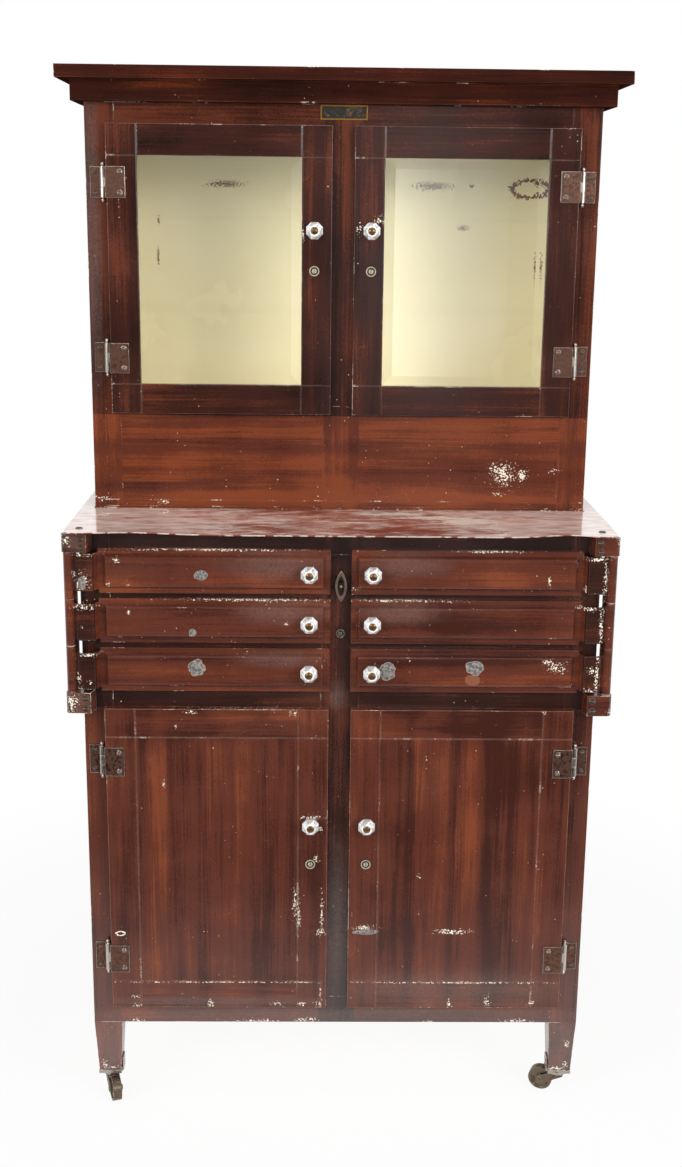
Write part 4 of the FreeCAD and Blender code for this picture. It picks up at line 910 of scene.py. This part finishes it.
def sleeve_tail(shape, node):
    """Free end of the sheet that wraps a drawer's pivot rod, turned in behind the arm."""
    sizes = bpy.context.scene.cabinet_sizes
    low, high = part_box(node)
    outward = 1 if high.x > -low.x else -1
    rod = outward * (max(high.x, -low.x) - sizes.sleeve_radius)
    rod_y = (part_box("pivot_rods")[0].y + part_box("pivot_rods")[1].y) / 2
    start = rod - outward * sizes.tail_start
    bend = rod - outward * (sizes.tail_start + sizes.tail_end) / 2
    end = rod - outward * sizes.tail_end
    rear = rod_y + sizes.sleeve_radius * 0.55
    route = ((start, rear), (bend, rear - 0.4 * MM), (end, rear - 1.4 * MM))
    outline = (*route, *[(x, y - sizes.tail_thick) for x, y in reversed(route)])
    foot = low.z + 0.4 * MM if node.startswith("low") else low.z - sizes.sleeve_gap
    rings = [[shape.verts.new((x, y, z)) for x, y in outline] for z in (foot, high.z - 0.2 * MM)]
    for ring in rings:
        shape.faces.new(ring)
    for step in range(len(outline)):
        after = (step + 1) % len(outline)
        shape.faces.new((rings[0][step], rings[0][after], rings[1][after], rings[1][step]))


class CABINET_OT_case(bpy.types.Operator):
    """Grain the base, the upper case and the cornice, and coat their insides cream"""

    bl_idname = "cabinet.case"
    bl_label = "Case"

    def execute(self, context):
        # The base frame's drawer opening and centre post take the darker colours: old dark enamel with
        # painted shade.
        dress(grained_enamel("grained_enamel_base_frame", rails=FRAME_RAILS,
                             inside=(CASE_CORE, BASE_FRAME_INSIDE), deep=(DRAWER_OPENING, CENTRE_POST),
                             flaking=0.3, rub_and_highlight=0.3, gloom=BASE_SHADE_AND_GLOOM, chips=BASE_CHIPS, dust_and_sheen=BASE_DUST_AND_SHEEN,
                             veil=0.8, seed=2.0), "base_face_frame")
        dress(grained_enamel("grained_enamel_sides", upright=1.0, inside=(CASE_CORE, ), seed=6.0),
              "base_side_panels", "upper_side_panels")
        dress(grained_enamel("grained_enamel_backs", upright=1.0, inside=(BACKS_INSIDE, ), tone=-0.05,
                             stains=WALL_STAINS, rings=WALL_RING, seed=10.0),
              "base_back_panel", "upper_back_panel")
        dress(grained_enamel("grained_enamel_upper_frame", rails=FRAME_RAILS,
                             inside=(CASE_CORE, UPPER_FRAME_INSIDE), deep=(UPPER_CASE, ), tone=0.07,
                             gloom=BACKBOARD_GLOOM + POST_SHADE_AND_GLOOM, glow=BACKBOARD_GLOW, dust_and_sheen=UPPER_FRAME_SHEEN,
                             chips=BACKBOARD_CHIPS, flaking=0.3, rub_and_highlight=0.15, veil=0.25, seed=14.0),
              "upper_face_frame")
        dress(grained_enamel("grained_enamel_cornice", deep=(EVERYWHERE, ), flaking=-1.0, rub_and_highlight=0.2, gloss=0.5,
                             veil=0.0, seed=18.0), "cornice")
        dress(cream_enamel(), "base_floor_panel", "drawer_deck", "upper_floor_panel", "shelf_rests")
        return {"FINISHED"}


class CABINET_OT_counter(bpy.types.Operator):
    """Give the counter its glossy worn enamel"""

    bl_idname = "cabinet.counter"
    bl_label = "Counter"

    def execute(self, context):
        sheet = new_piece("worn_counter_sheet", counter_sheet, "cabinet", "counter_enamel", counter_enamel())
        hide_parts("counter_top")
        return {"FINISHED"}


class CABINET_OT_doors(bpy.types.Operator):
    """Grain the four doors and their stiles and rails"""

    bl_idname = "cabinet.doors"
    bl_label = "Doors"

    def execute(self, context):
        dress(grained_enamel("grained_enamel_upper_doors", rails=DOOR_RAILS, inside=(UPPER_DOORS_INSIDE, ),
                             deep=(EVERYWHERE, ), flaking=0.3, rub_and_highlight=0.55, line="#A58E86",
                             chips=UPPER_DOOR_CHIPS, veil=0.3, seed=26.0),
              *[f"{door}_frame" for door in UPPER_DOORS])
        low, high = (corner.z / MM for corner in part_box("lower_left_door_panel"))
        panel = (low + DOOR_RAIL_HEIGHT, high - DOOR_RAIL_HEIGHT)
        dress(grained_enamel("grained_enamel_lower_doors", rails=DOOR_RAILS, panel=panel,
                             inside=(LOWER_DOORS_INSIDE, ), gloom=LOWER_DOOR_GLOOM, glow=LOWER_DOOR_GLOW,
                             chips=LOWER_DOOR_CHIPS, bare=LOWER_DOOR_BARE, hoops=LOWER_DOOR_HOOPS,
                             flaking=0.7, rub_and_highlight=1.0, line="#A98068", dust_and_sheen=LOWER_DOOR_SHEEN, tone=-0.03,
                             seed=30.0),
              *[f"{door}_panel" for door in LOWER_DOORS])
        return {"FINISHED"}


class CABINET_OT_drawers(bpy.types.Operator):
    """Grain the swing drawers' fronts and coat their trays cream"""

    bl_idname = "cabinet.drawers"
    bl_label = "Drawers"

    def execute(self, context):
        enamel = grained_enamel("grained_enamel_drawers", inside=(DRAWERS_INSIDE, ), deep=(DRAWER_ARMS, ),
                                wear=3.0, flaking=-1.5, rub_and_highlight=0.3, line="#80584A", soft=5.0,
                                chips=DRAWER_CHIPS + ARM_CHIPS, bare=DRAWER_BARE, touched=DRAWER_TOUCHED,
                                dust_and_sheen=DRAWER_FILMS, glow=DRAWER_GLOW, gloom=DRAWER_GLOOM, seed=34.0)
        dress(enamel, *DRAWERS)
        for drawer in DRAWERS:
            new_piece(f"{drawer}_sleeve_tail", lambda shape: sleeve_tail(shape, drawer), drawer,
                      "mahogany_enamel", enamel)
        return {"FINISHED"}


class CABINET_OT_glazing(bpy.types.Operator):
    """Glaze the upper doors and the shelves"""

    bl_idname = "cabinet.glazing"
    bl_label = "Glazing"

    def execute(self, context):
        dress(plate_glass(), *[f"{door}_glass" for door in UPPER_DOORS])
        dress(shelf_glass(), "glass_shelves")
        return {"FINISHED"}


class CABINET_OT_knobs(bpy.types.Operator):
    """Model the cut-glass knobs with their collars and brass screws"""

    bl_idname = "cabinet.knobs"
    bl_label = "Knobs"

    def execute(self, context):
        glass = cut_glass()
        brass = worn_metal("old_brass", linear("#8A6C49"), linear("#4A3520"), linear("#D0BC92"),
                           spread=0.6, roughness=0.3, lump=3.0)
        for body in (*DOORS, *DRAWERS):
            node = f"{body}_knob"
            knob = new_piece(f"{body}_cut_glass_knob", lambda shape: cut_glass_knob(shape, node), body,
                             "knob_glass", glass, brass)
            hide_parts(node)
        return {"FINISHED"}


class CABINET_OT_locks(bpy.types.Operator):
    """Finish the locks and the turn button, and set a raised rim on each lock face"""

    bl_idname = "cabinet.locks"
    bl_label = "Locks"

    def execute(self, context):
        nickel = worn_metal("worn_nickel", linear("#B9AF9F"), linear("#B3A48C"), linear("#E6E0D2"),
                            spread=0.45, roughness=0.2, lump=6.0)
        dull = worn_metal("dull_nickel", linear("#A0968A"), linear("#55483A"), linear("#B8B0A2"),
                          spread=0.6, roughness=0.25, lump=6.0)
        grimy = worn_metal("grimy_lock_steel", linear("#4A4039"), linear("#231A16"), linear("#8A7F70"),
                           spread=0.5, roughness=0.4, lump=5.0)
        faces = {f"{door}_lock": nickel for door in DOORS}
        faces["drawer_lock"] = dull
        for body, finish in faces.items():
            node = f"{body}_plug"
            low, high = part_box(node)
            radius = (high.x - low.x) / 2
            centre = Vector(((low.x + high.x) / 2, 0, high.z - radius))
            new_piece(f"{body}_face", lambda shape: lock_face(shape, centre, low.y, radius), body,
                      "lock_steel", finish)
            dress(grimy, node)
        dress(turn_button_finish(), "turn_button")
        return {"FINISHED"}


class CABINET_OT_hinges(bpy.types.Operator):
    """Rust the hinges and their screws, with polished edges"""

    bl_idname = "cabinet.hinges"
    bl_label = "Hinges"

    def execute(self, context):
        axis = abs(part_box("upper_left_door_hinge_leaves")[0].x) / MM - KNUCKLE_INSET
        knuckle = (axis - KNUCKLE_REACH, axis + KNUCKLE_REACH)
        rusted = worn_metal("rusted_hinge_steel", linear("#7A5848"), linear("#472C20"), linear("#D9D1C8"),
                            spread=0.56, roughness=0.3, lump=4.0, knuckle=knuckle)
        dress(rusted, "hinge_frame_leaves", *[f"{door}_hinge_leaves" for door in DOORS])
        dark = worn_metal("dark_screw_steel", linear("#5E4A3E"), linear("#33241D"), linear("#98897C"),
                          spread=0.55, roughness=0.3, lump=4.0)
        dress(dark, "screws")
        return {"FINISHED"}


class CABINET_OT_pivots(bpy.types.Operator):
    """Finish the drawers' corner brackets and rods"""

    bl_idname = "cabinet.pivots"
    bl_label = "Pivots"

    def execute(self, context):
        dress(grained_enamel("worn_bracket_enamel", wear=3.0, flaking=2.0, rub_and_highlight=1.0, tone=-0.05,
                             chips=BRACKET_CHIPS, gloom=BRACKET_GLOOM, dust_and_sheen=BRACKET_FILMS, seed=38.0),
              "pivot_brackets", "pivot_rods")
        return {"FINISHED"}


class CABINET_OT_stand(bpy.types.Operator):
    """Finish the legs and the casters"""

    bl_idname = "cabinet.stand"
    bl_label = "Stand"

    def execute(self, context):
        colours = context.scene.cabinet_colours
        dress(grained_enamel("grained_enamel_legs", upright=1.0, wear=3.0, flaking=3.0, veil=0.9,
                             chips=LEG_CHIPS, dust_and_sheen=LEG_SHEEN, seed=42.0), "tapered_legs")
        plate = worn_metal("worn_caster_plate", linear("#A8A39B"), colours.rust, linear("#E2DED6"),
                           spread=0.66, roughness=0.35, lump=10.0)
        dress(plate, "caster_sockets")
        iron = worn_metal("rusted_caster_iron", linear("#6E6154"), linear("#5C4332"), linear("#A0957E"),
                          spread=0.66, roughness=0.4, lump=8.0)
        dress(iron, *[f"{caster}_{part}" for caster in CASTERS for part in ("fork", "wheel")])
        return {"FINISHED"}


class CABINET_OT_nameplate(bpy.types.Operator):
    """Finish the bare nameplate"""

    bl_idname = "cabinet.nameplate"
    bl_label = "Nameplate"

    def execute(self, context):
        dress(plate_finish(), "nameplate")
        return {"FINISHED"}


def studio_floor(stage):
    """White paper that keeps the cabinet's shadow, plain white further off, with a dim room in front."""
    material, tree = new_tree("white_studio_paper")
    place = millimetres(tree)
    reach = add(tree, VECTOR, {0: place}, "Value", operation="LENGTH")
    near, far = PAPER_FADE
    plain = add(tree, RANGE, {0: reach, 1: near, 2: far, 3: 0.9, 4: 1.0}, interpolation_type="SMOOTHSTEP")
    path = add(tree, LIGHT_PATH, {}).node.outputs
    seen = add(tree, MATH, {0: path["Is Camera Ray"], 1: path["Is Transmission Ray"]}, operation="MAXIMUM")
    plain = add(tree, MATH, {0: plain, 1: seen}, operation="MULTIPLY")
    plain = add(tree, MATH, {0: plain, 1: path["Is Glossy Ray"]}, operation="MAXIMUM")
    ahead = add(tree, SPLIT, {0: place}, "Y")
    front, back = ROOM_FADE
    mirrored = add(tree, RANGE, {0: ahead, 1: front, 2: back, 3: stage.room, 4: 1.0},
                   interpolation_type="SMOOTHSTEP")
    strength = add(tree, MIX, {0: path["Is Glossy Ray"], 2: 1.0, 3: mirrored})
    paper = add(tree, PRINCIPLED, {"Base Color": linear("#F4F4F4"), "Roughness": 0.9})
    white = add(tree, EMISSION, {"Color": linear("#FFFFFF"), "Strength": strength})
    add(tree, OUTPUT, {"Surface": add(tree, MIX_SHADER, {0: plain, 1: paper, 2: white})})
    return material


def studio_world(stage):
    """White surroundings, with a dim room behind the camera for what the enamel mirrors."""
    world = bpy.data.worlds.new("white_studio")
    world.use_nodes = True
    tree = world.node_tree
    tree.nodes.clear()
    ahead = add(tree, SPLIT, {0: add(tree, COORDS, {}, "Generated")}, "Y")
    front, back = SURROUNDINGS_FADE
    mirrored = add(tree, RANGE, {0: ahead, 1: front, 2: back, 3: stage.room, 4: 1.0},
                   interpolation_type="SMOOTHSTEP")
    path = add(tree, LIGHT_PATH, {}).node.outputs
    clear = add(tree, MATH, {0: path["Is Camera Ray"], 1: path["Is Transmission Ray"]}, operation="MAXIMUM")
    strength = add(tree, MIX, {0: path["Is Glossy Ray"], 2: stage.fill, 3: mirrored})
    strength = add(tree, MIX, {0: clear, 2: strength, 3: 1.0})
    add(tree, WORLD_OUTPUT, {0: add(tree, BACKGROUND, {"Color": (1, 1, 1, 1), "Strength": strength})})
    bpy.context.scene.world = world


def soft_lamp(name, place, target, size, watts):
    """Large oblong lamp turned to a target."""
    lamp = bpy.data.lights.new(name, "AREA")
    lamp.shape = "RECTANGLE"
    lamp.size, lamp.size_y = size
    lamp.energy = watts
    holder = bpy.data.objects.new(name, lamp)
    holder.location = place
    holder.rotation_euler = (Vector(target) - Vector(place)).to_track_quat("-Z", "Y").to_euler()
    bpy.context.collection.objects.link(holder)
    return lamp


def fade(lamp):
    """Let a lamp fade from its left side to its right."""
    lamp.use_nodes = True
    tree = lamp.node_tree
    tree.nodes.clear()
    across = add(tree, SPLIT, {0: add(tree, GEOMETRY, {}, "Parametric")}, "X")
    strength = add(tree, MATH, {0: HAZE_START, 1: across}, operation="SUBTRACT")
    add(tree, LAMP_OUTPUT, {0: add(tree, EMISSION, {"Strength": strength})})


class CABINET_OT_stage(bpy.types.Operator):
    """Set the floor, the soft lamps and the camera"""

    bl_idname = "cabinet.stage"
    bl_label = "Stage"

    def execute(self, context):
        scene = context.scene
        stage = scene.cabinet_stage
        scene.view_settings.view_transform = "Standard"
        shape = bmesh.new()
        bmesh.ops.create_grid(shape, x_segments=4, y_segments=4, size=FLOOR_REACH)
        mesh = bpy.data.meshes.new("studio_floor")
        shape.to_mesh(mesh)
        shape.free()
        mesh.materials.append(studio_floor(stage))
        floor = bpy.data.objects.new("studio_floor", mesh)
        context.collection.objects.link(floor)
        studio_world(stage)

        (x, y, z), target, size = SIDE_LAMP
        for name, side in zip(SIDES, (-1, 1)):
            watts = stage.lamp_power * (1 + stage.lamp_lean * side)
            soft_lamp(f"{name}_soft_lamp", (side * x, y, z), target, size, watts)
        soft_lamp("top_lamp", *TOP_LAMP, stage.top_power)
        fade(soft_lamp("haze_lamp", *HAZE_LAMP, stage.haze_power))

        lens = bpy.data.cameras.new("camera")
        lens.lens = stage.lens
        camera = bpy.data.objects.new("camera", lens)
        level = math.cos(stage.pitch)
        forward = Vector((math.sin(stage.yaw) * level, math.cos(stage.yaw) * level, -math.sin(stage.pitch)))
        right = Vector((math.cos(stage.yaw), -math.sin(stage.yaw), 0))
        up = right.cross(forward)
        turn = Matrix((right, up, -forward)).transposed().to_4x4()
        camera.matrix_world = Matrix.Translation(stage.camera) @ turn @ Matrix.Rotation(stage.roll, 4, "Z")
        context.collection.objects.link(camera)
        scene.camera = camera
        return {"FINISHED"}


GROUPS = {"cabinet_colours": CabinetColours, "cabinet_sizes": CabinetSizes, "cabinet_stage": CabinetStage}
STEPS = (CABINET_OT_case, CABINET_OT_counter, CABINET_OT_doors, CABINET_OT_drawers, CABINET_OT_glazing,
         CABINET_OT_knobs, CABINET_OT_locks, CABINET_OT_hinges, CABINET_OT_pivots, CABINET_OT_stand,
         CABINET_OT_nameplate, CABINET_OT_stage)


class CABINET_PT_build(bpy.types.Panel):
    """Lists the cabinet's build steps"""

    bl_idname = "CABINET_PT_build"
    bl_label = "Dental Cabinet"
    bl_space_type = "VIEW_3D"
    bl_region_type = "UI"
    bl_category = "Cabinet"

    def draw(self, context):
        for step in STEPS:
            self.layout.operator(step.bl_idname)


def register():
    """Register the classes and hang the settings on the scene."""
    for kind in (*GROUPS.values(), *STEPS, CABINET_PT_build):
        bpy.utils.register_class(kind)
    for name, kind in GROUPS.items():
        setattr(bpy.types.Scene, name, PointerProperty(type=kind))


def unregister():
    """Take the settings and the classes away again."""
    for name in GROUPS:
        delattr(bpy.types.Scene, name)
    for kind in reversed((*GROUPS.values(), *STEPS, CABINET_PT_build)):
        bpy.utils.unregister_class(kind)


def main():
    """Build the looks in order."""
    register()
    bpy.ops.cabinet.case()
    bpy.ops.cabinet.counter()
    bpy.ops.cabinet.doors()
    bpy.ops.cabinet.drawers()
    bpy.ops.cabinet.glazing()
    bpy.ops.cabinet.knobs()
    bpy.ops.cabinet.locks()
    bpy.ops.cabinet.hinges()
    bpy.ops.cabinet.pivots()
    bpy.ops.cabinet.stand()
    bpy.ops.cabinet.nameplate()
    bpy.ops.cabinet.stage()


if __name__ == "__main__":
    main()
